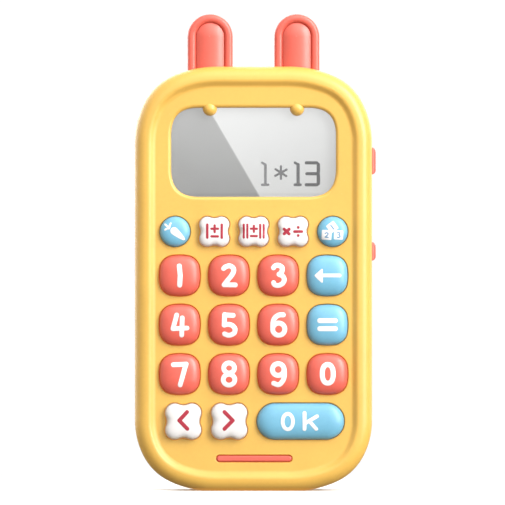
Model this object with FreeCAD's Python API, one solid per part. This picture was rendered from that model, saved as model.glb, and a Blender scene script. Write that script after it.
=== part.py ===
import FreeCAD, Part
import math
import os

# Toy cell phone with rabbit ears: a two-piece moulded case, twenty sprung keys on a
# rubber mat, a small LCD behind a window, two side buttons, a speaker and three
# AAA cells behind a hinged-out battery door.
#
# Frame: the phone stands upright. Front face looks along -Y, +X is the right-hand side
# seen from the front, +Z is up. Origin: middle of the flat bottom, at mid depth.
# All lengths in millimetres.

V = FreeCAD.Vector

# ------------------------------------------------------------------ driving dimensions
BODY_W = 79.5            # width of the case
BODY_H = 142.1           # height of the case without ears
FOOT_CUT = 0.35          # the outline would end this far below the ground flattened foot
HW = BODY_W / 2.0

# case corners: three tangent arcs, (angle, radius) from the side towards the end
TOP_CORNER = ((26.0, 29.27), (42.0, 20.0), (22.0, 37.79))
BOT_CORNER = ((26.0, 26.17), (42.0, 19.5), (22.0, 39.60))

Y_CREST = -11.4          # crest of the front rim
Y_FACE = -10.2           # recessed front face
FACE_T = 2.0             # thickness of the face plate
Y_PLATE = Y_FACE + FACE_T
Y_PART = 1.0             # parting plane between the covers
Y_BACK = 12.5            # flat back
SEAM = 0.18              # chamfer on both covers along the seam
WALL = 2.2               # side wall
R_FRONT = 4.3            # outer rounding of the rim
R_REAR = 4.4             # rounding of the back edge
RIM_MID = 5.8            # middle of the rim's sloping inner side, from the outer edge
RIM_ANGLE = 35.0         # its steepness, degrees from the face
RIM_ROUND = 1.7          # rounding above and below the slope

# display window
WIN_CX, WIN_CZ = 0.0, 113.35
WIN_HW, WIN_HH = 27.57, 14.9
WIN_CORNER = ((18.0, 13.14), (54.0, 6.63), (18.0, 13.14))
WIN_BEVEL = 1.2
LENS_MARGIN = 1.8
LENS_T = 1.2
TAPE_T = 0.2
Y_TAPE = -8.6            # front of the adhesive ring
NUB_R = 2.45             # ball nubs over the top edge of the window
NUB_X = 14.6
NUB_Z = 127.95
NUB_SINK = 1.85          # how far each ball's centre lies behind the face

# ears
EAR_X = 14.55
EAR_R = 7.6
EAR_TOP = 159.8
EAR_Y0, EAR_Y1 = -4.4, 4.4
EAR_PAD_R = 4.6
EAR_PAD_Y = -5.2         # crown of the pad
EAR_PAD_EDGE = -3.8      # height of the pad at its edge
EAR_VALLEY = 1.5

# keys
KEY_HALF = 6.75          # main keys, half width
KEY_CORNER = ((10.0, 16.03), (70.0, 4.59), (10.0, 16.03))
KEY_PITCH = 16.48
ROW_Z = (72.06, 55.60, 39.06)
KEY_H = 2.8              # height of main keys above the face
FN_Z = 86.8              # function row
FN_X = (-26.25, -13.1, 0.05, 13.25, 26.5)
FN_HALF = 5.0
FN_H = 2.4
NAV_Z = 23.3             # bottom row
NAV_X = (-23.5, -8.1)
NAV_HALF = 6.0
OK_X = 15.75
OK_LEN, OK_W = 29.1, 12.0
KEY_GAP = 0.22           # clearance of a key in its opening
KEY_EDGE = 0.35          # softened edge of each opening
FLANGE = 0.6             # retaining flange round a key, behind the face
FLANGE_T = 1.0
REST_GAP = 0.05
Y_KEYFOOT = Y_PLATE + REST_GAP + FLANGE_T
KEY_TRAVEL = 1.2

# accent bar under the keys
BAR_X, BAR_Z = 0.2, 10.8
BAR_LEN, BAR_W = 25.0, 1.9
BAR_SLOT = 0.25          # dark groove left round the bar

# circuit board and mat
Y_PCB0, Y_PCB1 = -3.6, -2.0
MAT_T = 1.0
MAT_HX = 30.35
MAT_Z0, MAT_Z1 = 16.0, 92.2
DOME_R0, DOME_R1 = 4.1, 3.0

# side buttons on the +X side
BTN_Y = -5.3
BTN_W = 3.6              # size across the thickness of the case
BTN_OUT = 1.3            # how far they stand out
BTN_GAP = 0.2
BTN_UP_Z, BTN_UP_L = 110.5, 9.0
BTN_LO_Z, BTN_LO_L = 80.2, 6.2
BTN_TRAVEL = 0.6

# fasteners
CASE_SCREWS = ((28.2, 133.0), (-28.2, 133.0), (33.0, 47.33), (-33.0, 47.33), (24.5, 10.9), (-24.5, 10.9))
PCB_SCREWS = ((19.8, 94.75), (-19.8, 94.75), (16.48, 47.33), (-16.48, 47.33))

# battery bay: three AAA cells side by side
CELL_R, CELL_L, NUB_L = 5.25, 43.5, 1.0
CELL_PITCH = 11.2
CELL_Y = 5.75
BAY_HX = 17.3
BAY_Z0, BAY_Z1 = 29.7, 79.2
BAY_FLOOR = 0.4
BAY_WALL = 1.2
CONTACT_T = 0.4

# battery door
DOOR_HX = 20.0
DOOR_Z0, DOOR_Z1 = 24.0, 88.0
DOOR_T = 1.4
DOOR_GAP = 0.15
DOOR_CORNER = 2.5
DOOR_SCREW_Z = 84.0
TAB_X = 12.0

# speaker
SPK_X, SPK_Z = 0.0, 112.0
SPK_R = 14.0


# ------------------------------------------------------------------ helpers
class Turtle:
    """Closed planar outline in the XZ plane made of lines and tangent arcs."""

    def __init__(self, x, z, heading, y):
        self.x, self.z, self.h, self.y = x, z, math.radians(heading), y
        self.p0 = V(x, y, z)
        self.last = self.p0
        self.edges = []

    def fd(self, d, close=False):
        if d < 1e-7:
            return
        self.x += d * math.cos(self.h)
        self.z += d * math.sin(self.h)
        q = self.p0 if close else V(self.x, self.y, self.z)
        self.edges.append(Part.LineSegment(self.last, q).toShape())
        self.last = q

    def turn(self, r, ang, close=False):
        """Left turn (ang > 0) or right turn (ang < 0) of radius r."""
        a = math.radians(ang)
        s = 1.0 if a > 0 else -1.0
        cx = self.x - s * r * math.sin(self.h)
        cz = self.z + s * r * math.cos(self.h)

        def at(t):
            hh = self.h + a * t
            return cx + s * r * math.sin(hh), cz - s * r * math.cos(hh)

        mx, mz = at(0.5)
        ex, ez = at(1.0)
        q = self.p0 if close else V(ex, self.y, ez)
        self.edges.append(Part.Arc(self.last, V(mx, self.y, mz), q).toShape())
        self.last = q
        self.x, self.z = ex, ez
        self.h += a

    def face(self):
        return Part.Face(Part.Wire(self.edges))


def corner_size(corner, off=0.0):
    """Extent of a corner across (x) and up (z), starting with heading +Z."""
    x, z, h = 0.0, 0.0, math.pi / 2
    for ang, r in corner:
        r -= off
        a = math.radians(ang)
        cx, cz = x - r * math.sin(h), z + r * math.cos(h)
        h += a
        x, z = cx + r * math.sin(h), cz - r * math.cos(h)
    return -x, z


def outline(cx, z0, z1, hw, top, bot, y, off=0.0):
    """Rounded outline, inset by off, as a planar face at depth y."""
    tx, tz = corner_size(top)
    bx, bz = corner_size(bot)
    t = Turtle(cx + hw - off, z0 + bz, 90.0, y)
    t.fd((z1 - tz) - (z0 + bz))
    for a, r in top:
        t.turn(r - off, a)
    t.fd(2 * (hw - tx))
    for a, r in reversed(top):
        t.turn(r - off, a)
    t.fd((z1 - tz) - (z0 + bz))
    for a, r in bot:
        t.turn(r - off, a)
    t.fd(2 * (hw - bx))
    rev = list(reversed(bot))
    for i, (a, r) in enumerate(rev):
        t.turn(r - off, a, close=(i == len(rev) - 1))
    return t.face()


def prism(face, y1):
    y0 = face.BoundBox.YMin
    return face.extrude(V(0, y1 - y0, 0))


def body_prism(y0, y1, off=0.0):
    return prism(outline(0.0, -FOOT_CUT, BODY_H, HW, TOP_CORNER, BOT_CORNER, y0, off), y1)


def window_face(y, off=0.0):
    return outline(WIN_CX, WIN_CZ - WIN_HH, WIN_CZ + WIN_HH, WIN_HW, WIN_CORNER, WIN_CORNER, y, off)


def squircle(cx, cz, half, y, off=0.0):
    """Main key outline; its corners reach from mid side to mid side."""
    k = half / KEY_HALF
    c = tuple((a, r * k) for a, r in KEY_CORNER)
    sx, sz = corner_size(c)
    t = Turtle(cx + half - off, cz, 90.0, y)
    # tiny straight runs take up what the three arcs leave
    d = half - sz
    n = 0
    for q in range(4):
        t.fd(max(d, 0.0))
        for a, r in c:
            n += 1
            last = (n == 12 and d < 1e-7)
            t.turn(r - off, a, close=last)
        t.fd(max(d, 0.0), close=(q == 3))
    return t.face()


def flower(cx, cz, half, y, off=0.0):
    """Four-lobed outline: round lobes at the corners, shallow dips mid side."""
    k = half / 5.0
    rl = 2.6 * k             # lobe radius
    rc = 3.41 * k            # dip radius
    lx = 2.4 * k
    d = 7.91 * k
    # angle of the tangent point, seen from the lobe centre
    phi = math.degrees(math.atan2(d - lx, lx))     # dip centre (0, d) from lobe (lx, lx)
    # start at the right-hand dip, mid side, heading up
    dip = 90.0 - phi                                # half angle of a dip
    t = Turtle(cx + (d - rc) - off, cz, 90.0, y)
    for q in range(4):
        t.turn(rc + off, -dip)
        t.turn(rl - off, 90.0 + 2 * dip)
        t.turn(rc + off, -dip, close=(q == 3))
    return t.face()


def disc(cx, cz, r, y, off=0.0):
    e = Part.Circle(V(cx, y, cz), V(0, 1, 0), r - off).toShape()
    return Part.Face(Part.Wire([e]))


def stadium(cx, cz, length, width, y, off=0.0, vertical=False):
    r = width / 2.0 - off
    l = length - width
    if vertical:
        t = Turtle(cx + r, cz - l / 2.0, 90.0, y)
    else:
        t = Turtle(cx - l / 2.0, cz - r, 0.0, y)
    t.fd(l)
    t.turn(r, 180.0)
    t.fd(l)
    t.turn(r, 180.0, close=True)
    return t.face()


def cyl(x, z, r, y0, y1):
    return Part.makeCylinder(r, y1 - y0, V(x, y0, z), V(0, 1, 0))


def box(x0, x1, y0, y1, z0, z1):
    return Part.makeBox(x1 - x0, y1 - y0, z1 - z0, V(x0, y0, z0))


def rounded_box(x0, x1, y0, y1, z0, z1, r):
    b = box(x0, x1, y0, y1, z0, z1)
    es = [e for e in b.Edges if e.BoundBox.YLength > 1e-3]
    return b.makeFillet(r, es)


def edges_at(shape, y, tol=1e-4, inside=None):
    out = []
    for e in shape.Edges:
        b = e.BoundBox
        if abs(b.YMin - y) < tol and abs(b.YMax - y) < tol:
            if inside is None or inside(b):
                out.append(e)
    return out


def round_edges(shape, y, r, inside=None):
    es = edges_at(shape, y, inside=inside)
    return shape.makeFillet(r, es)


def revolve_y(points, x, z):
    """Solid of revolution about the Y direction through (x, z); points are (radius, y)."""
    pts = [V(x + r, y, z) for r, y in points]
    w = Part.makePolygon(pts + [pts[0]])
    return Part.Face(w).revolve(V(x, 0, z), V(0, 1, 0), 360)


def lead(points, r):
    """Insulated wire: straight runs joined by tangent arcs, checked by volume."""
    pts = [V(*p) for p in points]
    edges = []
    cur = pts[0]
    total = 0.0
    for i in range(1, len(pts) - 1):
        a, b, c = pts[i - 1], pts[i], pts[i + 1]
        u = (b - a)
        w = (c - b)
        lu, lw = u.Length, w.Length
        u = u * (1.0 / lu)
        w = w * (1.0 / lw)
        half = math.acos(max(-1.0, min(1.0, u.dot(w)))) / 2.0
        t = 0.45 * min(lu, lw)
        rad = t / math.tan(half)
        p1 = b - u * t
        p2 = b + w * t
        bis = (w - u)
        bis = bis * (1.0 / bis.Length)
        mid = b + bis * (rad / math.cos(half) - rad)
        edges.append(Part.LineSegment(cur, p1).toShape())
        edges.append(Part.Arc(p1, mid, p2).toShape())
        total += (p1 - cur).Length + rad * 2 * half
        print("lead arc radius %.2f mm" % rad)
        cur = p2
    edges.append(Part.LineSegment(cur, pts[-1]).toShape())
    total += (pts[-1] - cur).Length
    path = Part.Wire(edges)
    d0 = (pts[1] - pts[0])
    prof = Part.Wire([Part.Circle(pts[0], d0, r).toShape()])
    s = path.makePipeShell([prof], True, False)
    if s.ShapeType != "Solid":
        s = Part.Solid(s)
    want = math.pi * r * r * total
    print("lead volume %.3f of %.3f, length %.1f" % (abs(s.Volume), want, total))
    return s


os.makedirs("parts", exist_ok=True)


def save(name, shape):
    if not shape.isValid():
        print("NOT VALID:", name)
    n = len(shape.Solids)
    print("%-22s solids %d volume %.1f" % (name, n, shape.Volume))
    shape.exportStep("parts/%s.step" % name)


def group(shapes):
    return Part.makeCompound(shapes)


# ------------------------------------------------------------------ key table
keys = []                # name, face function of (y, offset), height, dome centres, dome radii
digits = {
    "key_1": (-1.5, 0), "key_2": (-0.5, 0), "key_3": (0.5, 0), "key_back": (1.5, 0),
    "key_4": (-1.5, 1), "key_5": (-0.5, 1), "key_6": (0.5, 1), "key_equals": (1.5, 1),
    "key_7": (-1.5, 2), "key_8": (-0.5, 2), "key_9": (0.5, 2), "key_0": (1.5, 2),
}
for nm, (c, r) in digits.items():
    x, z = c * KEY_PITCH, ROW_Z[r]
    keys.append((nm, lambda y, o, x=x, z=z: squircle(x, z, KEY_HALF, y, o), KEY_H, [(x, z)], 1.0, 2.4))
for nm, x, round_key in (("key_carrot", FN_X[0], True), ("key_add_sub_1", FN_X[1], False),
                         ("key_add_sub_2", FN_X[2], False), ("key_mul_div", FN_X[3], False),
                         ("key_blocks", FN_X[4], True)):
    if round_key:
        f = lambda y, o, x=x: disc(x, FN_Z, FN_HALF, y, o)
    else:
        f = lambda y, o, x=x: flower(x, FN_Z, FN_HALF, y, o)
    keys.append((nm, f, FN_H, [(x, FN_Z)], 0.8, 1.6))
for nm, x in (("key_prev", NAV_X[0]), ("key_next", NAV_X[1])):
    keys.append((nm, lambda y, o, x=x: flower(x, NAV_Z, NAV_HALF, y, o), KEY_H, [(x, NAV_Z)], 0.9, 1.8))
keys.append(("key_ok", lambda y, o: stadium(OK_X, NAV_Z, OK_LEN, OK_W, y, o), KEY_H,
             [(OK_X - 7.5, NAV_Z), (OK_X + 7.5, NAV_Z)], 0.9, 2.4))

# ------------------------------------------------------------------ front cover
front = body_prism(Y_CREST, Y_PART)
front = round_edges(front, Y_CREST, R_FRONT)
front = front.makeChamfer(SEAM, edges_at(front, Y_PART))
# recess for the front face: sloping inner side of the rim, softened above and below
rim_run = (Y_FACE - Y_CREST) / 2.0 / math.tan(math.radians(RIM_ANGLE))
rim_over = 0.5 / math.tan(math.radians(RIM_ANGLE))
rec_top = outline(0.0, -FOOT_CUT, BODY_H, HW, TOP_CORNER, BOT_CORNER, Y_CREST - 0.5, RIM_MID - rim_run - rim_over)
rec_bot = outline(0.0, -FOOT_CUT, BODY_H, HW, TOP_CORNER, BOT_CORNER, Y_FACE, RIM_MID + rim_run)
recess = Part.makeLoft([rec_top.OuterWire, rec_bot.OuterWire], True, True)
front = front.cut(recess)


def rim_inner(b):
    return b.XMin > -HW + 4.6 and b.XMax < HW - 4.6 and b.ZMin > 4.3 and b.ZMax < BODY_H - 4.6


try:
    f2 = round_edges(front, Y_CREST, RIM_ROUND, inside=rim_inner)
    if f2.isValid():
        front = f2
    else:
        print("rim crest fillet not valid")
    f3 = round_edges(front, Y_FACE, RIM_ROUND)
    if f3.isValid():
        front = f3
    else:
        print("rim foot fillet not valid")
except Exception as exc:
    print("rim fillet skipped", exc)

# inside of the cover
front = front.cut(body_prism(Y_PLATE, Y_PART + 1.0, WALL))
# rebate for the rear cover's lip
front = front.cut(body_prism(-0.7, Y_PART + 1.0, 1.05))

adds = []
for x, z in CASE_SCREWS:
    adds.append(cyl(x, z, 2.6, Y_PLATE - 0.2, -0.1))
for x, z in PCB_SCREWS:
    adds.append(cyl(x, z, 2.15, Y_PLATE - 0.2, Y_PCB0))
# ball nubs over the window's top edge
window_cut = prism(window_face(Y_FACE - 1.0), Y_PLATE + 1.0)
front = front.cut(window_cut)
win_edges = edges_at(front, Y_FACE, inside=lambda b: b.ZMin > 95.0 and b.ZMax < 131.0 and abs(b.XMin) < 29 and abs(b.XMax) < 29)
try:
    f4 = front.makeFillet(WIN_BEVEL, win_edges)
    if f4.isValid():
        front = f4
    else:
        print("window fillet not valid")
except Exception as exc:
    print("window fillet skipped", exc)
for sx in (-1, 1):
    ball = Part.makeSphere(NUB_R, V(sx * NUB_X, Y_FACE + NUB_SINK, NUB_Z))
    ball = ball.common(box(sx * NUB_X - 5, sx * NUB_X + 5, -14, -8.75, NUB_Z - 5, NUB_Z + 5))
    adds.append(ball)
front = front.multiFuse(adds)
# seat for the window lens behind the face
front = front.cut(prism(window_face(Y_TAPE, -LENS_MARGIN - 0.1), Y_TAPE + TAPE_T + LENS_T + 0.1))
cuts = []
for nm, f, h, domes, k, rf in keys:
    cuts.append(prism(f(Y_FACE - 1.5, -KEY_GAP), Y_PLATE + 1.0))
cuts.append(prism(stadium(BAR_X, BAR_Z, BAR_LEN + 2 * BAR_SLOT, BAR_W + 2 * BAR_SLOT, Y_FACE - 1.0), Y_PLATE + 1.0))
for x, z in CASE_SCREWS:
    cuts.append(cyl(x, z, 1.12, -6.9, 0.5))
for x, z in PCB_SCREWS:
    cuts.append(cyl(x, z, 0.92, -7.4, Y_PCB0 + 0.5))
for z, l in ((BTN_UP_Z, BTN_UP_L), (BTN_LO_Z, BTN_LO_L)):
    cuts.append(box(HW - WALL - 2.0, HW + 1.0, BTN_Y - BTN_W / 2 - BTN_GAP, BTN_Y + BTN_W / 2 + BTN_GAP,
                    z - l / 2 - BTN_GAP, z + l / 2 + BTN_GAP))
# half of the ear slots
for sx in (-1, 1):
    cuts.append(box(sx * EAR_X - 4.1, sx * EAR_X + 4.1, -2.1, Y_PART + 1.0, 137.0, 143.0))
front = front.cut(group(cuts))
# soften the face edges of the key openings and of the slot for the bar
rims = edges_at(front, Y_FACE, inside=lambda b: b.ZMax < 93.0 and b.ZMin > 9.0 and abs(b.XMin) < 32.5 and abs(b.XMax) < 32.5)
try:
    f5 = front.makeFillet(KEY_EDGE, rims)
    if f5.isValid() and len(f5.Solids) == 1:
        front = f5
    else:
        print("opening fillet not valid")
except Exception as exc:
    print("opening fillet skipped", exc)
foot = box(-60.0, 60.0, -20.0, 20.0, -5.0, 0.0)
front = front.cut(foot)
save("front_cover", front)

# ------------------------------------------------------------------ rear cover
rear = body_prism(Y_PART, Y_BACK)
rear = round_edges(rear, Y_BACK, R_REAR)
rear = rear.makeChamfer(SEAM, edges_at(rear, Y_PART))
cav = body_prism(Y_PART - 1.0, Y_BACK - 2.0, WALL)
cav = round_edges(cav, Y_BACK - 2.0, 2.6)
rear = rear.cut(cav)
lip = body_prism(-0.6, Y_PART + 0.2, 1.15).cut(body_prism(-1.0, Y_PART + 1.0, WALL))
lip = lip.cut(group([cyl(x, z, 2.9, -1.0, -0.05) for x, z in CASE_SCREWS]))
adds = [lip]
for x, z in CASE_SCREWS:
    adds.append(cyl(x, z, 3.4, 0.0, Y_BACK - 1.9))
# battery bay block, door ledge, speaker locating ring, door screw boss
adds.append(box(-BAY_HX - BAY_WALL, BAY_HX + BAY_WALL, BAY_FLOOR - 1.0, Y_BACK - 1.9, BAY_Z0 - BAY_WALL, BAY_Z1 + BAY_WALL))
adds.append(box(-DOOR_HX - 2.0, DOOR_HX + 2.0, 9.4, Y_BACK - 1.9, DOOR_Z0 - 2.4, DOOR_Z1 + 2.0))
adds.append(cyl(SPK_X, SPK_Z, SPK_R + 1.4, 7.6, Y_BACK - 1.9).cut(cyl(SPK_X, SPK_Z, SPK_R + 0.2, 7.0, Y_BACK)))
adds.append(cyl(0.0, DOOR_SCREW_Z, 3.2, 4.6, Y_BACK - 1.9))
rear = rear.multiFuse(adds)
cuts = []
for x, z in CASE_SCREWS:
    cuts.append(cyl(x, z, 1.3, -0.5, Y_BACK + 1.0))
    cuts.append(cyl(x, z, 2.35, 4.0, Y_BACK + 1.0))
# bay and door recess
cuts.append(box(-BAY_HX, BAY_HX, BAY_FLOOR, Y_BACK + 1.0, BAY_Z0, BAY_Z1))
cuts.append(rounded_box(-DOOR_HX - DOOR_GAP, DOOR_HX + DOOR_GAP, Y_BACK - DOOR_T - 0.1, Y_BACK + 1.0, DOOR_Z0 - DOOR_GAP, DOOR_Z1 + DOOR_GAP, DOOR_CORNER + DOOR_GAP))
# pockets for the door's two tabs, reaching under the back wall below the door
for sx in (-1, 1):
    cuts.append(box(sx * TAB_X - 3.4, sx * TAB_X + 3.4, 8.6, 10.5, DOOR_Z0 - 2.5, BAY_Z0 - BAY_WALL))
    cuts.append(box(sx * TAB_X - 3.4, sx * TAB_X + 3.4, 8.6, Y_BACK - 1.0, DOOR_Z0 - DOOR_GAP, BAY_Z0 - BAY_WALL))
cuts.append(cyl(0.0, DOOR_SCREW_Z, 1.45, 5.4, Y_BACK))
# slits for the tails of the battery contacts
cuts.append(box(-CELL_PITCH - 1.4, -CELL_PITCH + 1.4, 2.6, 3.4, BAY_Z0 - BAY_WALL - 0.5, BAY_Z0 + 0.5))
cuts.append(box(CELL_PITCH - 1.4, CELL_PITCH + 1.4, 2.6, 3.4, BAY_Z1 - 0.5, BAY_Z1 + BAY_WALL + 0.5))
# speaker grille
grille = [(0.0, 0.0)]
for ring, n in ((4.0, 6), (8.0, 12)):
    for i in range(n):
        a = 2 * math.pi * (i + 0.5 * (n == 12)) / n
        grille.append((ring * math.cos(a), ring * math.sin(a)))
for gx, gz in grille:
    cuts.append(cyl(SPK_X + gx, SPK_Z + gz, 1.0, Y_BACK - 4.0, Y_BACK + 1.0))
for sx in (-1, 1):
    cuts.append(box(sx * EAR_X - 4.1, sx * EAR_X + 4.1, -1.0, 4.1, 137.0, 143.0))
rear = rear.cut(group(cuts)).cut(foot)
save("rear_cover", rear)

# ------------------------------------------------------------------ ears
for nm, sx in (("ear_left", -1), ("ear_right", 1)):
    cx = sx * EAR_X
    cz = EAR_TOP - EAR_R

    def arch(r, y, zb=138.0):
        t = Turtle(cx + r, zb, 90.0, y)
        t.fd(cz - zb)
        t.turn(r, 180.0)
        t.fd(cz - zb)
        t.h = 0.0
        t.fd(2 * r, close=True)
        return t.face()

    def arch_edges(s, y, r):
        return [e for e in edges_at(s, y) if e.BoundBox.ZMax > 140.0 and abs(e.BoundBox.XLength - 0.0) < 2 * r + 0.01
                and not (abs(e.BoundBox.ZMin - 138.0) < 1e-3 and abs(e.BoundBox.ZMax - 138.0) < 1e-3)]

    ear = prism(arch(EAR_R, EAR_Y0), EAR_Y1)
    ear = ear.makeFillet(3.2, arch_edges(ear, EAR_Y1, EAR_R))
    ear = ear.makeFillet(1.35, arch_edges(ear, EAR_Y0, EAR_R))
    ear = ear.cut(prism(arch(EAR_PAD_R + 0.12, EAR_Y0 - 1.0), EAR_Y0 + EAR_VALLEY))
    inner = [e for e in edges_at(ear, EAR_Y0) if e.BoundBox.ZMax > 140.0 and e.BoundBox.XMin > cx - EAR_PAD_R - 0.2
             and e.BoundBox.XMax < cx + EAR_PAD_R + 0.2 and e.BoundBox.ZLength > 0.01]
    try:
        e2 = ear.makeFillet(1.3, inner)
        if e2.isValid():
            ear = e2
    except Exception as exc:
        print("ear ring fillet skipped", exc)
    # pad: a shallow crown across its width, turned about the end's centre at the top
    yb = EAR_Y0 + EAR_VALLEY + 0.3
    drop = EAR_PAD_EDGE - EAR_PAD_Y
    r_crown = (EAR_PAD_R ** 2 + drop ** 2) / (2 * drop)
    a45 = math.asin(EAR_PAD_R / r_crown) / 2
    xm, ym = r_crown * math.sin(a45), EAR_PAD_Y + r_crown * (1 - math.cos(a45))
    a, b, c, d = V(cx - EAR_PAD_R, yb, 138.0), V(cx - EAR_PAD_R, EAR_PAD_EDGE, 138.0), V(cx + EAR_PAD_R, EAR_PAD_EDGE, 138.0), V(cx + EAR_PAD_R, yb, 138.0)
    run = Part.Face(Part.Wire([Part.LineSegment(a, b).toShape(), Part.Arc(b, V(cx, EAR_PAD_Y, 138.0), c).toShape(),
                               Part.LineSegment(c, d).toShape(), Part.LineSegment(d, a).toShape()])).extrude(V(0, 0, cz - 138.0))
    e, f, g, h = V(cx, yb, cz), V(cx, EAR_PAD_Y, cz), V(cx + EAR_PAD_R, EAR_PAD_EDGE, cz), V(cx + EAR_PAD_R, yb, cz)
    end = Part.Face(Part.Wire([Part.LineSegment(e, f).toShape(), Part.Arc(f, V(cx + xm, ym, cz), g).toShape(),
                               Part.LineSegment(g, h).toShape(), Part.LineSegment(h, e).toShape()])).revolve(V(cx, 0, cz), V(0, 1, 0), 360)
    pad = run.fuse(end)
    ear = ear.fuse(pad)
    ear = ear.cut(body_prism(-12.0, 12.0, -0.03))
    neck = box(cx - 4.0, cx + 4.0, -2.0, 4.0, 137.6, 142.6)
    tee = box(cx - 5.6, cx + 5.6, -2.0, 4.0, 137.0, 138.6)
    ear = ear.multiFuse([neck, tee]).removeSplitter()
    save(nm, ear)

# ------------------------------------------------------------------ window, LCD
y0 = Y_TAPE
ring = prism(window_face(y0, -LENS_MARGIN), y0 + TAPE_T).cut(prism(window_face(y0 - 1, -0.1), y0 + 2))
save("lens_tape", ring)
y0 += TAPE_T
save("display_lens", prism(window_face(y0, -LENS_MARGIN), y0 + LENS_T))
Y_LCD = -6.9
lcd_z0, lcd_z1 = WIN_CZ - 15.4, WIN_CZ + 15.4
glass_a = box(-28.6, 28.6, Y_LCD, Y_LCD + 0.95, lcd_z0 + 1.6, lcd_z1)
glass_b = box(-28.6, 28.6, Y_LCD + 0.95, Y_LCD + 1.9, lcd_z0, lcd_z1)
save("lcd_panel", glass_a.fuse(glass_b).removeSplitter())
frame = box(-30.3, 30.3, -7.15, Y_PCB0, lcd_z0 - 0.9, lcd_z1 + 0.9)
frame = frame.cut(box(-28.7, 28.7, -6.95, Y_PCB0 + 1, lcd_z0 - 0.05, lcd_z1 + 0.05))
frame = frame.cut(box(-27.9, 27.9, -8.0, Y_PCB0 + 1, WIN_CZ - 14.9, WIN_CZ + 14.9))
save("lcd_frame", frame)
save("zebra_strip", box(-26.0, 26.0, Y_LCD + 1.9, Y_PCB0, lcd_z0 + 0.3, lcd_z0 + 2.3))

# ------------------------------------------------------------------ circuit board
pcb = body_prism(Y_PCB0, Y_PCB1, 5.0)
pcb = pcb.cut(box(-50, 50, -5, 0, -1, 15.5)).cut(box(-50, 50, -5, 0, 134.0, 150))
holes = [cyl(x, z, 3.1, -5, 0) for x, z in CASE_SCREWS] + [cyl(x, z, 1.1, -5, 0) for x, z in PCB_SCREWS]
pcb = pcb.cut(group(holes))
save("main_pcb", pcb)
save("controller_chip", revolve_y([(0, Y_PCB1), (5.5, Y_PCB1), (5.3, Y_PCB1 + 0.5), (4.2, Y_PCB1 + 1.1), (2.2, Y_PCB1 + 1.4), (0, Y_PCB1 + 1.45)], -13.0, 120.0))

# ------------------------------------------------------------------ rubber mat
mat = box(-MAT_HX, MAT_HX, Y_PCB0 - MAT_T, Y_PCB0, MAT_Z0, MAT_Z1)
domes = []
for nm, f, h, dd, k, rf in keys:
    for dx, dz in dd:
        domes.append(Part.makeCone(DOME_R0 * k, DOME_R1 * k, Y_PCB0 - MAT_T + 0.01 - Y_KEYFOOT, V(dx, Y_PCB0 - MAT_T + 0.01, dz), V(0, -1, 0)))
mat = mat.multiFuse(domes)
mat = mat.cut(group([cyl(x, z, 2.5, -9, 0) for x, z in PCB_SCREWS[2:]] + [cyl(x, z, 3.1, -9, 0) for x, z in CASE_SCREWS[2:4]]))
save("keypad_mat", mat)

# ------------------------------------------------------------------ keys
for nm, f, h, dd, k, rf in keys:
    cap = prism(f(Y_FACE - h, 0.0), Y_KEYFOOT - FLANGE_T + 0.01)
    cap = cap.makeFillet(rf, edges_at(cap, Y_FACE - h))
    flange = prism(f(Y_KEYFOOT - FLANGE_T, -FLANGE), Y_KEYFOOT)
    save(nm, cap.fuse(flange))

# ------------------------------------------------------------------ accent bar
bar = prism(stadium(BAR_X, BAR_Z, BAR_LEN, BAR_W, Y_FACE - 0.35), Y_PLATE + 0.01)
bar = bar.makeFillet(0.45, edges_at(bar, Y_FACE - 0.35))
save("accent_bar", bar.fuse(prism(stadium(BAR_X, BAR_Z, BAR_LEN + 2.4, BAR_W + 2.4, Y_PLATE), Y_PLATE + 0.8)))

# ------------------------------------------------------------------ side buttons, switches
for nm, z, l in (("upper", BTN_UP_Z, BTN_UP_L), ("lower", BTN_LO_Z, BTN_LO_L)):
    x1 = HW + BTN_OUT
    b = box(36.4, x1, BTN_Y - BTN_W / 2, BTN_Y + BTN_W / 2, z - l / 2, z + l / 2)
    es = [e for e in b.Edges if abs(e.BoundBox.XMin - x1) < 1e-4 and abs(e.BoundBox.XMax - x1) < 1e-4]
    b = b.makeFillet(1.1, es)
    b = b.fuse(box(35.9, HW - WALL - 0.05, BTN_Y - BTN_W / 2 - 0.0, BTN_Y + BTN_W / 2 + 1.0, z - l / 2 - 0.8, z + l / 2 + 0.8))
    save("side_button_" + nm, b.removeSplitter())
    body = box(30.8, 34.3, -7.0, Y_PCB0, z - 2.2, z + 2.2)
    body = body.cut(box(32.6, 35.0, BTN_Y - 0.8, BTN_Y + 0.8, z - 1.3, z + 1.3))
    save("side_switch_" + nm, body)
    save("side_plunger_" + nm, box(33.3, 35.9, BTN_Y - 0.75, BTN_Y + 0.75, z - 1.25, z + 1.25))

# ------------------------------------------------------------------ speaker
save("speaker_frame", revolve_y([(13.2, 10.4), (14.0, 10.4), (14.0, 7.9), (9.0, 6.6), (6.4, 6.6), (6.4, 7.4), (8.6, 7.4), (13.2, 8.7)], SPK_X, SPK_Z))
save("speaker_cone", revolve_y([(13.15, 9.9), (13.15, 9.6), (12.0, 9.0), (10.8, 9.5), (5.2, 8.0), (3.4, 9.2), (0, 9.6), (0, 9.8), (3.6, 9.4), (5.3, 8.3), (10.7, 9.8), (12.0, 9.3)], SPK_X, SPK_Z))
save("speaker_magnet", revolve_y([(0, 3.4), (8.0, 3.4), (8.0, 6.55), (6.3, 6.55), (6.3, 7.3), (0, 7.3)], SPK_X, SPK_Z))

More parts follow.
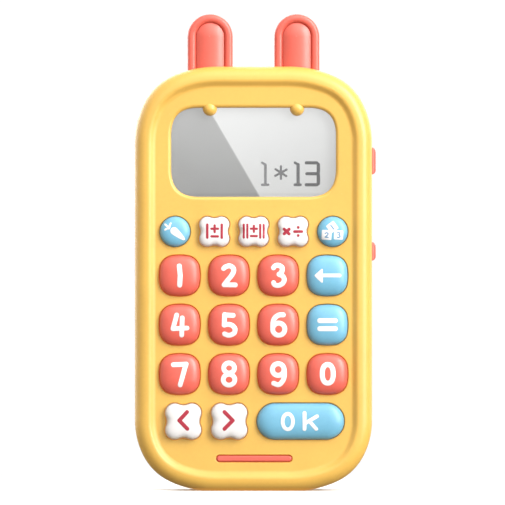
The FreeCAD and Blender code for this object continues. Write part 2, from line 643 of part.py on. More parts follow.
# ------------------------------------------------------------------ batteries
cells, springs, plates = [], [], []
for i, up in ((-1, True), (0, False), (1, True)):
    x = i * CELL_PITCH
    if up:
        zb = BAY_Z1 - CONTACT_T - NUB_L - CELL_L
        can = Part.makeCylinder(CELL_R, CELL_L, V(x, CELL_Y, zb))
        nub = Part.makeCylinder(1.9, NUB_L + 0.1, V(x, CELL_Y, zb + CELL_L - 0.1))
        s0, s1 = BAY_Z0 + CONTACT_T, zb
    else:
        zb = BAY_Z0 + CONTACT_T + NUB_L
        can = Part.makeCylinder(CELL_R, CELL_L, V(x, CELL_Y, zb))
        nub = Part.makeCylinder(1.9, NUB_L + 0.1, V(x, CELL_Y, zb - NUB_L))
        s0, s1 = zb + CELL_L, BAY_Z1 - CONTACT_T
    can = can.makeFillet(0.6, [e for e in can.Edges if e.BoundBox.ZLength < 1e-4])
    cells.append(can.fuse(nub))
    # squeezed conical coil spring: the turns of round wire lie against each other
    wr = 0.4
    n = 6
    step = (s1 - s0 - 2 * wr) / (n - 1)
    turns = []
    for j in range(n):
        rr = 3.4 - (0.22 * j if up else 0.22 * (n - 1 - j))
        turns.append(Part.makeTorus(rr, wr, V(x, CELL_Y, s0 + wr + j * step)))
    springs.append(turns[0].multiFuse(turns[1:]))
save("battery_cells", group(cells))
save("battery_springs", group(springs))


def plate(x0, x1, z0, tail=None):
    p = box(x0, x1, 1.6, 9.8, z0, z0 + CONTACT_T)
    if tail == "down":
        p = p.fuse(box(-CELL_PITCH - 1.2, -CELL_PITCH + 1.2, 2.8, 3.2, BAY_Z0 - 2.8, BAY_Z0 + 0.2))
    if tail == "up":
        p = p.fuse(box(CELL_PITCH - 1.2, CELL_PITCH + 1.2, 2.8, 3.2, BAY_Z1 - 0.2, BAY_Z1 + 2.8))
    return p.removeSplitter()


zt = BAY_Z1 - CONTACT_T
plates.append(plate(-CELL_PITCH - 4.3, -CELL_PITCH + 4.3, BAY_Z0, "down"))
plates.append(plate(-4.3, CELL_PITCH + 4.3, BAY_Z0))
plates.append(plate(-CELL_PITCH - 4.3, 4.3, zt))
plates.append(plate(CELL_PITCH - 4.3, CELL_PITCH + 4.3, zt, "up"))
save("battery_contacts", group(plates))

lower = lead([(-CELL_PITCH, 3.0, BAY_Z0 - 2.8), (-CELL_PITCH, 3.0, BAY_Z0 - 5.6), (-CELL_PITCH, 0.0, BAY_Z0 - 7.4), (-CELL_PITCH, Y_PCB1, BAY_Z0 - 7.4)], 0.5)
upper = lead([(CELL_PITCH, 3.0, BAY_Z1 + 2.8), (CELL_PITCH, 3.0, BAY_Z1 + 5.6), (CELL_PITCH, 0.0, BAY_Z1 + 7.4), (CELL_PITCH, Y_PCB1, BAY_Z1 + 7.4)], 0.5)
save("battery_leads", group([lower, upper]))
spk = []
for sx in (-1, 1):
    spk.append(lead([(sx * 2.5, 6.6 - 3.2, SPK_Z - 5.0), (sx * 2.5, 1.2, SPK_Z - 5.0), (sx * 2.5, 0.0, SPK_Z - 7.5), (sx * 2.5, Y_PCB1, SPK_Z - 7.5)], 0.4))
save("speaker_leads", group(spk))

# ------------------------------------------------------------------ battery door
door = rounded_box(-DOOR_HX, DOOR_HX, Y_BACK - DOOR_T, Y_BACK, DOOR_Z0, DOOR_Z1, DOOR_CORNER)
door = door.makeFillet(0.3, edges_at(door, Y_BACK))
adds = []
for sx in (-1, 1):
    adds.append(box(sx * TAB_X - 3.0, sx * TAB_X + 3.0, 9.0, Y_BACK - DOOR_T + 0.1, DOOR_Z0 + 0.1, DOOR_Z0 + 1.5))
    adds.append(box(sx * TAB_X - 3.0, sx * TAB_X + 3.0, 9.0, 10.2, DOOR_Z0 - 2.0, DOOR_Z0 + 0.2))
adds.append(cyl(0.0, DOOR_SCREW_Z, 3.0, Y_BACK - DOOR_T - 0.0, Y_BACK - 0.3))
# finger grip ribs across the middle of the door
door = door.multiFuse(adds)
ribs = [box(-6.0, 6.0, Y_BACK - 0.35, Y_BACK + 1, 74.0 - 1.8 * i, 74.8 - 1.8 * i) for i in range(4)]
ribs.append(cyl(0.0, DOOR_SCREW_Z, 1.45, 9.0, Y_BACK + 1))
ribs.append(cyl(0.0, DOOR_SCREW_Z, 2.35, Y_BACK - 0.75, Y_BACK + 1))
door = door.cut(group(ribs)).removeSplitter()
save("battery_door", door)


def cross(x, z, y, r, deep, towards=1.0):
    a = box(x - r, x + r, min(y, y - towards * deep), max(y, y - towards * deep), z - 0.22, z + 0.22)
    b = box(x - 0.22, x + 0.22, min(y, y - towards * deep), max(y, y - towards * deep), z - r, z + r)
    return a.fuse(b)


def screw(x, z, y_seat, shaft_r, shaft_l, head_r, head_t):
    """Pan head screw: head towards +Y on the seat, shaft towards -Y."""
    s = cyl(x, z, head_r, y_seat, y_seat + head_t)
    s = s.makeFillet(min(0.5, head_t * 0.45), edges_at(s, y_seat + head_t))
    s = s.fuse(cyl(x, z, shaft_r, y_seat - shaft_l, y_seat + 0.1))
    tip = revolve_y([(0, y_seat - shaft_l), (shaft_r, y_seat - shaft_l), (shaft_r * 0.5, y_seat - shaft_l - 0.6), (0, y_seat - shaft_l - 0.6)], x, z)
    s = s.fuse(tip)
    return s.cut(cross(x, z, y_seat + head_t, head_r * 0.6, head_t * 0.55)).removeSplitter()


save("door_screw", screw(0.0, DOOR_SCREW_Z, Y_BACK - 0.75, 1.15, 4.6, 2.1, 0.65))
save("case_screws", group([screw(x, z, 4.0, 1.1, 9.6, 2.1, 1.5) for x, z in CASE_SCREWS]))
save("pcb_screws", group([screw(x, z, Y_PCB1, 0.9, 4.4, 1.9, 1.2) for x, z in PCB_SCREWS]))
print("done")
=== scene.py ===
import math

import bmesh
import bpy
import numpy as np
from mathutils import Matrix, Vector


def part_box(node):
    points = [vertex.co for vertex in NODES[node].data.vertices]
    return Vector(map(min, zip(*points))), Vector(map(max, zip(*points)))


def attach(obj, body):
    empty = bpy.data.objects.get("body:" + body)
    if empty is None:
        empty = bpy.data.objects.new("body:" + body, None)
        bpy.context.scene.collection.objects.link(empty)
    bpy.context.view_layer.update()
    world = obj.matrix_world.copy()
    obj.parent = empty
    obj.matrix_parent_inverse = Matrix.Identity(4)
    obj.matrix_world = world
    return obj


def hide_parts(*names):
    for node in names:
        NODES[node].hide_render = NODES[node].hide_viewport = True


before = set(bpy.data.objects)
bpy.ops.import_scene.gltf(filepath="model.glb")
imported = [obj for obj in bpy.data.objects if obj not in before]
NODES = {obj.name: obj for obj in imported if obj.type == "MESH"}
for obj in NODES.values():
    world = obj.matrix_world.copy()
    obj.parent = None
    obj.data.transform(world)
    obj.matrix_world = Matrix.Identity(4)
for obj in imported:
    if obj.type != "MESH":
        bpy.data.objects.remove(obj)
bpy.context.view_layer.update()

MM = 0.001


# ---------------------------------------------------------------- places read from the frame
def box_mm(node):
    lo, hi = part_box(node)
    return [c / MM for c in lo], [c / MM for c in hi]


SLOTS = {n: o.data.materials[0].name.split(".")[0] for n, o in NODES.items()}


def slot_of(node):
    return SLOTS[node]


k5_lo, k5_hi = box_mm("key_5")


# ---------------------------------------------------------------- node material helpers
def lin(c):
    out = []
    for v in c:
        v = v / 255.0
        out.append(v / 12.92 if v <= 0.04045 else ((v + 0.055) / 1.055) ** 2.4)
    return out


class Mat:
    """Small wrapper that wires shader nodes."""

    def __init__(self, name):
        self.m = bpy.data.materials.new(name)
        self.m.use_nodes = True
        self.nt = self.m.node_tree
        self.nt.nodes.clear()
        self.out = self.n("ShaderNodeOutputMaterial")
        self.tc = self.n("ShaderNodeTexCoord")
        self.obj = self.tc.outputs["Object"]

    def n(self, kind, **kw):
        nd = self.nt.nodes.new(kind)
        for k, v in kw.items():
            setattr(nd, k, v)
        return nd

    def link(self, a, b):
        self.nt.links.new(a, b)

    def put(self, sock, val):
        if isinstance(val, bpy.types.NodeSocket):
            self.link(val, sock)
        elif isinstance(val, (list, tuple)) and len(val) == 3 and sock.type == "RGBA":
            sock.default_value = (val[0], val[1], val[2], 1.0)
        else:
            sock.default_value = val

    def math(self, op, a, b=0.0, c=None, clamp=False):
        nd = self.n("ShaderNodeMath", operation=op, use_clamp=clamp)
        self.put(nd.inputs[0], a)
        self.put(nd.inputs[1], b)
        if c is not None:
            self.put(nd.inputs[2], c)
        return nd.outputs[0]

    def xyz(self, vec=None):
        s = self.n("ShaderNodeSeparateXYZ")
        self.link(vec or self.obj, s.inputs[0])
        return s.outputs[0], s.outputs[1], s.outputs[2]

    def noise(self, scale, detail=3.0, rough=0.5, vec=None, distortion=0.0):
        nd = self.n("ShaderNodeTexNoise")
        self.link(vec or self.obj, nd.inputs["Vector"])
        nd.inputs["Scale"].default_value = scale
        nd.inputs["Detail"].default_value = detail
        nd.inputs["Roughness"].default_value = rough
        nd.inputs["Distortion"].default_value = distortion
        return nd.outputs["Fac"]

    def voronoi(self, scale, vec=None, feature="F1"):
        nd = self.n("ShaderNodeTexVoronoi", feature=feature)
        self.link(vec or self.obj, nd.inputs["Vector"])
        nd.inputs["Scale"].default_value = scale
        return nd.outputs["Distance"]

    def ramp(self, fac, stops, interp="LINEAR"):
        nd = self.n("ShaderNodeValToRGB")
        cr = nd.color_ramp
        cr.interpolation = interp
        while len(cr.elements) < len(stops):
            cr.elements.new(0.5)
        for e, (p, c) in zip(cr.elements, stops):
            e.position = p
            e.color = (c[0], c[1], c[2], 1.0) if isinstance(c, (list, tuple)) else (c, c, c, 1.0)
        self.put(nd.inputs[0], fac)
        return nd.outputs["Color"]

    def remap(self, v, a0, a1, b0, b1, clamp=True):
        nd = self.n("ShaderNodeMapRange", clamp=clamp)
        self.put(nd.inputs[0], v)
        for i, x in enumerate((a0, a1, b0, b1)):
            self.put(nd.inputs[1 + i], x)
        return nd.outputs[0]

    def mix(self, fac, a, b, blend="MIX"):
        nd = self.n("ShaderNodeMix", data_type="RGBA", blend_type=blend)
        self.put(nd.inputs[0], fac)
        self.put(nd.inputs[6], a if isinstance(a, bpy.types.NodeSocket) else (a[0], a[1], a[2], 1.0))
        self.put(nd.inputs[7], b if isinstance(b, bpy.types.NodeSocket) else (b[0], b[1], b[2], 1.0))
        return nd.outputs[2]

    def bump(self, height, strength=0.1, dist=0.0001, normal=None):
        nd = self.n("ShaderNodeBump")
        nd.inputs["Strength"].default_value = strength
        nd.inputs["Distance"].default_value = dist
        self.put(nd.inputs["Height"], height)
        if normal is not None:
            self.link(normal, nd.inputs["Normal"])
        return nd.outputs["Normal"]

    def principled(self, **kw):
        p = self.n("ShaderNodeBsdfPrincipled")
        for k, v in kw.items():
            self.put(p.inputs[k.replace("_", " ")], v)
        self.link(p.outputs[0], self.out.inputs["Surface"])
        return p


def plastic(name, rgb, rough=0.36, tint=0.035, peel=0.10, coat=0.0, sss=0.0, grain=0.5, shift=0.0, crevice_shade_paint=None, crevice_glow_paint=0.0):
    """Moulded plastic: faint flow and pigment variation, orange peel, tiny dust and rub marks; where asked, painted
    shade and a painted glow in its crevices.
    """
    m = Mat(name)
    flow = m.noise(38.0 + shift, 4.0, 0.55, distortion=0.6)
    pig = m.noise(900.0, 2.0, 0.6)
    dark = [c * (1.0 - tint * 1.6) for c in rgb]
    lite = [min(1.0, c * (1.0 + tint)) for c in rgb]
    base = m.mix(m.remap(flow, 0.3, 0.7, 0.0, 1.0), dark, lite)
    fine = m.remap(pig, 0.3, 0.7, 1.0 - tint * grain, 1.0 + tint * grain)
    hsv = m.n("ShaderNodeHueSaturation")
    m.put(hsv.inputs["Color"], base)
    m.put(hsv.inputs["Value"], fine)
    # sparse specks of dust, a little lighter than the plastic
    specks = m.voronoi(420.0)
    spk = m.remap(specks, 0.02, 0.06, 0.22, 0.0)
    col = m.mix(spk, hsv.outputs[0], [min(1.0, c * 0.6 + 0.35) for c in rgb])
    if crevice_shade_paint is not None:
        # painted shade: crevices, found by ambient occlusion, are tinted towards a darker, warmer colour
        ao = m.n("ShaderNodeAmbientOcclusion", samples=4)
        ao.inputs["Distance"].default_value = 0.0016
        crevice_shade_fac = m.remap(ao.outputs["AO"], 0.15, 0.8, 1.0, 0.0)
        col = m.mix(crevice_shade_fac, col, crevice_shade_paint)
    rub = m.noise(160.0 + shift, 5.0, 0.7)
    rgh = m.remap(rub, 0.25, 0.75, rough - 0.05, rough + 0.08)
    peel_n = m.noise(1400.0, 2.0, 0.5)
    wave = m.noise(190.0, 2.0, 0.4)
    h = m.math("ADD", m.math("MULTIPLY", peel_n, 0.5), m.math("MULTIPLY", wave, 1.6))
    nrm = m.bump(h, peel, 0.00006)
    kw = dict(Base_Color=col, Roughness=rgh, Normal=nrm, IOR=1.5)
    p = m.principled(**kw)
    # painted glow: the same crevices give off a warm light, though no lamp is there
    if crevice_shade_paint is not None and crevice_glow_paint:
        p.inputs["Emission Color"].default_value = (crevice_shade_paint[0], crevice_shade_paint[1], crevice_shade_paint[2], 1.0)
        m.put(p.inputs["Emission Strength"], m.math("MULTIPLY", m.remap(ao.outputs["AO"], 0.05, 0.6, 1.0, 0.0), crevice_glow_paint))
    if coat:
        p.inputs["Coat Weight"].default_value = coat
        p.inputs["Coat Roughness"].default_value = 0.12
    if sss:
        p.inputs["Subsurface Weight"].default_value = sss
        p.inputs["Subsurface Radius"].default_value = (1.0, 0.6, 0.35)
        p.inputs["Subsurface Scale"].default_value = 0.0012
    return m.m


def ink(name, rgb, rough=0.45):
    """Printed ink: slightly uneven cover with a dry, fine-grained surface."""
    m = Mat(name)
    cover = m.noise(2600.0, 3.0, 0.6)
    band = m.noise(260.0, 2.0, 0.5)
    a = m.math("ADD", m.math("MULTIPLY", cover, 0.5), m.math("MULTIPLY", band, 0.5))
    col = m.mix(m.remap(a, 0.35, 0.65, 0.0, 1.0), [c * 0.93 for c in rgb], [min(1.0, c * 1.03) for c in rgb])
    rgh = m.remap(cover, 0.3, 0.7, rough - 0.06, rough + 0.1)
    m.principled(Base_Color=col, Roughness=rgh, Normal=m.bump(cover, 0.15, 0.00002))
    return m.m


def metal(name, rgb, rough=0.3, brushed=True, axis=2):
    m = Mat(name)
    mp = m.n("ShaderNodeMapping")
    m.link(m.obj, mp.inputs["Vector"])
    sc = [1.0, 1.0, 1.0]
    sc[axis] = 0.06 if brushed else 1.0
    mp.inputs["Scale"].default_value = sc
    streak = m.noise(2400.0, 4.0, 0.65, vec=mp.outputs[0])
    blot = m.noise(140.0, 3.0, 0.6)
    col = m.mix(m.remap(blot, 0.3, 0.75, 0.0, 1.0), [c * 0.82 for c in rgb], rgb)
    rgh = m.remap(streak, 0.3, 0.7, rough - 0.09, rough + 0.12)
    m.principled(Base_Color=col, Roughness=rgh, Metallic=1.0, Normal=m.bump(streak, 0.2, 0.00002))
    return m.m


# ---------------------------------------------------------------- the slots' materials
K = 2.0                  # how bright the studio light leaves a front-facing surface


def target(rgb):
    return [v / K for v in lin(rgb)]


YELLOW = [c * f for c, f in zip(target((254, 213, 102)), (1.14, 1.01, 1.0))]
CORAL = [c * f for c, f in zip(target((254, 120, 102)), (1.13, 1.0, 1.0))]
BLUE = target((138, 214, 248))
WHITE = [c * 1.17 for c in target((252, 250, 249))]
CRIMSON = target((202, 36, 66))

MATS = {}
# the last two arguments set each plastic's painted crevice shade colour and the strength of its painted crevice glow
MATS["case_yellow"] = plastic("case_yellow_look", YELLOW, rough=0.38, sss=0.06, crevice_shade_paint=[YELLOW[0] * 0.95, YELLOW[1] * 0.72, YELLOW[2] * 0.5], crevice_glow_paint=0.6)
MATS["coral"] = plastic("coral_look", CORAL, rough=0.36, sss=0.06, shift=5.0, crevice_shade_paint=[CORAL[0] * 0.95, CORAL[1] * 0.8, CORAL[2] * 0.7], crevice_glow_paint=0.25)
MATS["blue"] = plastic("blue_look", BLUE, rough=0.36, sss=0.06, shift=9.0, crevice_shade_paint=[BLUE[0] * 0.7, BLUE[1] * 0.75, BLUE[2] * 0.75], crevice_glow_paint=0.2)
MATS["white_cap"] = plastic("white_cap_look", WHITE, rough=0.34, sss=0.05, tint=0.02, shift=13.0, crevice_shade_paint=[WHITE[0] * 0.85, WHITE[1] * 0.68, WHITE[2] * 0.55], crevice_glow_paint=0.35)
INK_WHITE = ink("ink_white_look", (0.66, 0.655, 0.65))
INK_CRIMSON = ink("ink_crimson_look", CRIMSON)
INK_BLUE = ink("ink_blue_look", target((112, 176, 220)))


def lens_mat():
    m = Mat("lens_look")
    smear = m.noise(55.0, 5.0, 0.65, distortion=1.2)
    dust = m.voronoi(260.0)
    tr = m.n("ShaderNodeBsdfTransparent")
    tr.inputs[0].default_value = (0.985, 0.99, 0.992, 1.0)
    gl = m.n("ShaderNodeBsdfAnisotropic")
    gl.inputs["Color"].default_value = (1.0, 1.0, 1.0, 1.0)
    m.put(gl.inputs["Roughness"], m.remap(smear, 0.35, 0.75, 0.03, 0.16))
    fr = m.n("ShaderNodeFresnel")
    fr.inputs["IOR"].default_value = 1.49
    geo = m.n("ShaderNodeNewGeometry")
    refl = m.math("MULTIPLY", fr.outputs[0], m.math("SUBTRACT", 1.0, geo.outputs["Backfacing"]))
    dif = m.n("ShaderNodeBsdfDiffuse")
    dif.inputs["Color"].default_value = (0.9, 0.9, 0.9, 1.0)
    a = m.n("ShaderNodeMixShader")
    m.link(refl, a.inputs[0])
    m.link(tr.outputs[0], a.inputs[1])
    m.link(gl.outputs[0], a.inputs[2])
    b = m.n("ShaderNodeMixShader")
    m.put(b.inputs[0], m.remap(dust, 0.015, 0.05, 0.25, 0.01))
    m.link(a.outputs[0], b.inputs[1])
    m.link(dif.outputs[0], b.inputs[2])
    m.link(b.outputs[0], m.out.inputs["Surface"])
    return m.m


MATS["lens"] = lens_mat()


def lcd_mat():
    """Display glass: pale grey, with a painted reflection: a bright glare on the upper right part and a darker wedge at
    the left.
    """
    m = Mat("lcd_glass_look")
    x, y, z = m.xyz()
    # signed distance from the slanting edge of the painted reflection, in metres; positive to the right
    dx, dz = (2.0 - -13.6), (98.7 - 125.5)
    ln = math.hypot(dx, dz)
    nx, nz = -dz / ln, dx / ln
    d = m.math("ADD", m.math("MULTIPLY", m.math("SUBTRACT", x, -0.0136), nx),
               m.math("MULTIPLY", m.math("SUBTRACT", z, 0.1255), nz))
    side = m.remap(d, -0.0003, 0.0003, 0.0, 1.0)
    # painted light: both parts grow lighter towards the top, and the glare part also towards the left
    up = m.remap(z, 0.0986, 0.1283, 0.0, 1.0)
    painted_glare_ramp = m.math("ADD", m.math("MULTIPLY", up, 0.6), m.remap(x, -0.0136, 0.0276, 0.4, 0.0))
    left = m.mix(up, target((150, 150, 149)), target((190, 190, 189)))
    right = m.mix(painted_glare_ramp, target((206, 206, 205)), target((250, 250, 249)))
    col = m.mix(side, left, right)
    # faint pixel mesh and clouding of the reflector
    mesh = m.math("MULTIPLY", m.math("SINE", m.math("MULTIPLY", x, 9000.0)), m.math("SINE", m.math("MULTIPLY", z, 9000.0)))
    cloud = m.noise(70.0, 3.0, 0.5)
    v = m.math("ADD", m.remap(mesh, -1.0, 1.0, 0.985, 1.015), m.remap(cloud, 0.3, 0.7, -0.012, 0.012))
    hsv = m.n("ShaderNodeHueSaturation")
    m.put(hsv.inputs["Color"], col)
    m.put(hsv.inputs["Value"], v)
    # most of the tone is emitted, a painted glow, so the shade of the recess barely darkens it
    half = m.mix(1.0, hsv.outputs[0], (0.22, 0.22, 0.22), blend="MULTIPLY")
    p = m.principled(Base_Color=half, Roughness=m.remap(cloud, 0.3, 0.7, 0.32, 0.42))
    # painted glow: the display gives off light though it is no lamp
    m.put(p.inputs["Emission Color"], hsv.outputs[0])
    p.inputs["Emission Strength"].default_value = 0.72 * K
    return m.m


MATS["lcd_glass"] = lcd_mat()


def rubber(name, rgb, rough=0.7, sss=0.0):
    m = Mat(name)
    a = m.noise(1200.0, 3.0, 0.6)
    b = m.noise(60.0, 3.0, 0.5)
    col = m.mix(m.remap(b, 0.3, 0.7, 0.0, 1.0), [c * 0.9 for c in rgb], [min(1.0, c * 1.06) for c in rgb])
    p = m.principled(Base_Color=col, Roughness=m.remap(a, 0.3, 0.7, rough - 0.1, rough + 0.1), Normal=m.bump(a, 0.3, 0.00005))
    if sss:
        p.inputs["Subsurface Weight"].default_value = sss
        p.inputs["Subsurface Scale"].default_value = 0.002
    return m.m


MATS["tape"] = rubber("tape_look", (0.02, 0.02, 0.02), 0.85)
MATS["lcd_frame"] = plastic("lcd_frame_look", (0.75, 0.75, 0.72), rough=0.5)
MATS["silicone"] = rubber("silicone_look", (0.72, 0.73, 0.72), 0.55, sss=0.3)
MATS["epoxy"] = rubber("epoxy_look", (0.012, 0.012, 0.013), 0.25)
MATS["wire_red"] = rubber("wire_red_look", (0.5, 0.012, 0.01), 0.45)
MATS["wire_black"] = rubber("wire_black_look", (0.015, 0.015, 0.016), 0.45)
MATS["switch_black"] = plastic("switch_black_look", (0.02, 0.02, 0.022), rough=0.45)
MATS["switch_metal"] = metal("switch_metal_look", (0.62, 0.62, 0.63), 0.32, True, 1)
MATS["speaker_metal"] = metal("speaker_metal_look", (0.55, 0.55, 0.56), 0.38, False)
MATS["nickel"] = metal("nickel_look", (0.66, 0.64, 0.60), 0.24, True, 0)
MATS["screw_steel"] = metal("screw_steel_look", (0.60, 0.59, 0.57), 0.34, False)


def zebra_mat():
    m = Mat("zebra_look")
    x, y, z = m.xyz()
    s = m.math("GREATER_THAN", m.math("SINE", m.math("MULTIPLY", x, 30000.0)), 0.0)
    g = m.noise(900.0, 2.0, 0.5)
    col = m.mix(s, (0.62, 0.22, 0.26), (0.05, 0.04, 0.05))
    m.principled(Base_Color=col, Roughness=m.remap(g, 0.3, 0.7, 0.55, 0.75), Normal=m.bump(g, 0.2, 0.00003))
    return m.m


MATS["zebra"] = zebra_mat()


def pcb_mat():
    m = Mat("pcb_look")
    br = m.n("ShaderNodeTexBrick")
    mp = m.n("ShaderNodeMapping")
    m.link(m.obj, mp.inputs["Vector"])
    mp.inputs["Rotation"].default_value = (math.radians(90.0), 0.0, 0.0)
    m.link(mp.outputs[0], br.inputs["Vector"])
    br.inputs["Scale"].default_value = 150.0
    br.inputs["Mortar Size"].default_value = 0.03
    br.inputs["Color1"].default_value = (0.012, 0.115, 0.035, 1.0)
    br.inputs["Color2"].default_value = (0.016, 0.145, 0.048, 1.0)
    br.inputs["Mortar"].default_value = (0.06, 0.24, 0.08, 1.0)
    weave = m.noise(1500.0, 3.0, 0.6)
    m.principled(Base_Color=br.outputs["Color"], Roughness=m.remap(weave, 0.3, 0.7, 0.28, 0.42), Normal=m.bump(br.outputs["Fac"], 0.25, 0.00004))
    return m.m


MATS["pcb_green"] = pcb_mat()


def paper_mat():
    m = Mat("speaker_paper_look")
    v = m.voronoi(1500.0)
    f = m.noise(500.0, 4.0, 0.7)
    col = m.mix(m.remap(f, 0.3, 0.7, 0.0, 1.0), (0.012, 0.012, 0.013), (0.035, 0.034, 0.034))
    m.principled(Base_Color=col, Roughness=m.remap(v, 0.0, 0.6, 0.5, 0.8), Normal=m.bump(f, 0.3, 0.00005))
    return m.m


MATS["speaker_paper"] = paper_mat()


def cell_mat():
    """Printed wrap with plain coloured bands over a steel can; bare metal at both ends."""
    m = Mat("cell_wrap_look")
    x, y, z = m.xyz()
    mid = m.math("LESS_THAN", m.math("ABSOLUTE", x), 0.0056)
    zf = m.math("ADD", m.math("MULTIPLY", mid, m.math("SUBTRACT", 0.1089, z)),
                m.math("MULTIPLY", m.math("SUBTRACT", 1.0, mid), z))
    zn = m.remap(zf, 0.0343, 0.0778, 0.0, 1.0, clamp=False)
    scuff = m.noise(300.0, 5.0, 0.7)
    bands = m.ramp(zn, [(0.0, (0.55, 0.55, 0.55)), (0.03, (0.02, 0.05, 0.16)), (0.30, (0.55, 0.57, 0.6)),
                        (0.32, (0.02, 0.05, 0.16)), (0.34, (0.55, 0.57, 0.6)), (0.36, (0.02, 0.05, 0.16)),
                        (0.74, (0.72, 0.36, 0.05)), (0.97, (0.6, 0.6, 0.6))], "CONSTANT")
    col = m.mix(m.remap(scuff, 0.62, 0.75, 0.0, 0.35), bands, (0.6, 0.6, 0.62))
    bare = m.math("ADD", m.math("LESS_THAN", zn, 0.03), m.math("GREATER_THAN", zn, 0.97), clamp=True)
    m.principled(Base_Color=col, Metallic=bare, Roughness=m.remap(scuff, 0.3, 0.7, 0.24, 0.4), Normal=m.bump(scuff, 0.08, 0.00003))
    return m.m


MATS["cell_wrap"] = cell_mat()

# the rear half was moulded in the same yellow, with a darker painted shade and a weaker painted glow in its gaps
REAR = plastic("case_yellow_rear_look", YELLOW, rough=0.40, sss=0.06, shift=3.0, crevice_shade_paint=[YELLOW[0] * 0.8, YELLOW[1] * 0.66, YELLOW[2] * 0.5], crevice_glow_paint=0.05)

for name, ob in NODES.items():
    s = slot_of(name)
    for i in range(len(ob.data.materials)):
        key = ob.data.materials[i].name.split(".")[0]
        ob.data.materials[i] = MATS.get(key, MATS[s] if s in MATS else MATS["case_yellow"])
        if name in ("rear_cover", "battery_door"):
            ob.data.materials[i] = REAR


# ---------------------------------------------------------------- outlines of the keys
def corner_outline(parts, half):
    """Points of one full outline whose four corners are tangent arcs (angle, radius)."""
    k = half / 6.75
    x, z, h = half, 0.0, math.pi / 2
    pts = []
    sz = 0.0
    cx, cz, hh = 0.0, 0.0, math.pi / 2
    for a, r in parts:
        r *= k
        a = math.radians(a)
        ccx, ccz = cx - r * math.sin(hh), cz + r * math.cos(hh)
        hh += a
        cx, cz = ccx + r * math.sin(hh), ccz - r * math.cos(hh)
    sz = cz
    d = max(half - sz, 0.0)
    for q in range(4):
        for phase in (0, 1, 2, 3, 4):
            if phase in (0, 4):
                for i in range(3):
                    x += d / 3 * math.cos(h)
                    z += d / 3 * math.sin(h)
                    pts.append((x, z))
            else:
                a, r = parts[phase - 1]
                r *= k
                a = math.radians(a)
                n = max(4, int(abs(math.degrees(a)) / 1.2))
                for i in range(n):
                    ccx, ccz = x - r * math.sin(h), z + r * math.cos(h)
                    h += a / n
                    x, z = ccx + r * math.sin(h), ccz - r * math.cos(h)
                    pts.append((x, z))
    return np.array(pts)


def flower_outline(half):
    k = half / 5.0
    rl, rc, lx, d = 2.6 * k, 3.41 * k, 2.4 * k, 7.91 * k
    phi = math.atan2(d - lx, lx)
    dip = math.pi / 2 - phi
    x, z, h = d - rc, 0.0, math.pi / 2
    pts = []
    for q in range(4):
        for r, a in ((rc, -dip), (rl, math.pi / 2 + 2 * dip), (rc, -dip)):
            n = max(6, int(abs(math.degrees(a)) / 1.5))
            sg = 1.0 if a > 0 else -1.0
            for i in range(n):
                ccx, ccz = x - sg * r * math.sin(h), z + sg * r * math.cos(h)
                h += a / n
                x, z = ccx + sg * r * math.sin(h), ccz - sg * r * math.cos(h)
                pts.append((x, z))
    return np.array(pts)


class Polar:
    """Star-shaped outline as a radius per direction, plus the crown above it."""

    def __init__(self, pts, top, depth, power):
        th = np.arctan2(pts[:, 1], pts[:, 0])
        o = np.argsort(th)
        self.th, self.r = th[o], np.hypot(pts[:, 0], pts[:, 1])[o]
        self.top, self.depth, self.power = top, depth, power

    def radius(self, th):
        return np.interp(th, np.concatenate([self.th[-1:] - 2 * np.pi, self.th, self.th[:1] + 2 * np.pi]),
                         np.concatenate([self.r[-1:], self.r, self.r[:1]]))

    def ring(self, s, n, off=0.0):
        th = (np.arange(n) + 0.5) / n * 2 * np.pi - np.pi
        r = self.radius(th) * s + off
        return r * np.cos(th), r * np.sin(th)

    def frac(self, x, z):
        return np.hypot(x, z) / self.radius(np.arctan2(z, x))

    def y(self, x, z):
        s = np.clip(self.frac(x, z), 0.0, 1.0)
        return self.top + self.depth * (1.0 - np.sqrt(np.clip(1.0 - s ** self.power, 0.0, 1.0)))


class Pill(Polar):
    """Stadium: contours shrink towards the middle line."""

    def __init__(self, length, width, top, depth, power):
        self.L, self.R = (length - width) / 2.0, width / 2.0
        self.top, self.depth, self.power = top, depth, power

    def ring(self, s, n, off=0.0):
        R = self.R * s + off
        m = n // 2
        q = n // 8
        xs, zs = [], []
        for i in range(m - q):
            a = -math.pi / 2 + math.pi * i / (m - q - 1)
            xs.append(self.L + R * math.cos(a)); zs.append(R * math.sin(a))
        for i in range(q):
            t = (i + 1) / (q + 1)
            xs.append(self.L - 2 * self.L * t); zs.append(R)
        for i in range(m - q):
            a = math.pi / 2 + math.pi * i / (m - q - 1)
            xs.append(-self.L + R * math.cos(a)); zs.append(R * math.sin(a))
        for i in range(q):
            t = (i + 1) / (q + 1)
            xs.append(-self.L + 2 * self.L * t); zs.append(-R)
        return np.array(xs), np.array(zs)

    def frac(self, x, z):
        return np.hypot(np.maximum(np.abs(x) - self.L, 0.0), z) / self.R


# ---------------------------------------------------------------- mesh helpers
def finish_mesh(name, verts, faces, mat, body, sharp=32.0, replaces=()):
    me = bpy.data.meshes.new(name)
    me.from_pydata([tuple(v) for v in verts], [], [tuple(int(i) for i in f) for f in faces])
    me.validate()
    bm = bmesh.new()
    bm.from_mesh(me)
    bmesh.ops.recalc_face_normals(bm, faces=bm.faces)
    lim = math.radians(sharp)
    for f in bm.faces:
        f.smooth = True
    for e in bm.edges:
        e.smooth = len(e.link_faces) == 2 and e.calc_face_angle(0.0) < lim
    bm.to_mesh(me)
    bm.free()
    ob = bpy.data.objects.new(name, me)
    bpy.context.scene.collection.objects.link(ob)
    me.materials.append(mat)
    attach(ob, body)
    if replaces:
        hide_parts(*replaces)
    return ob


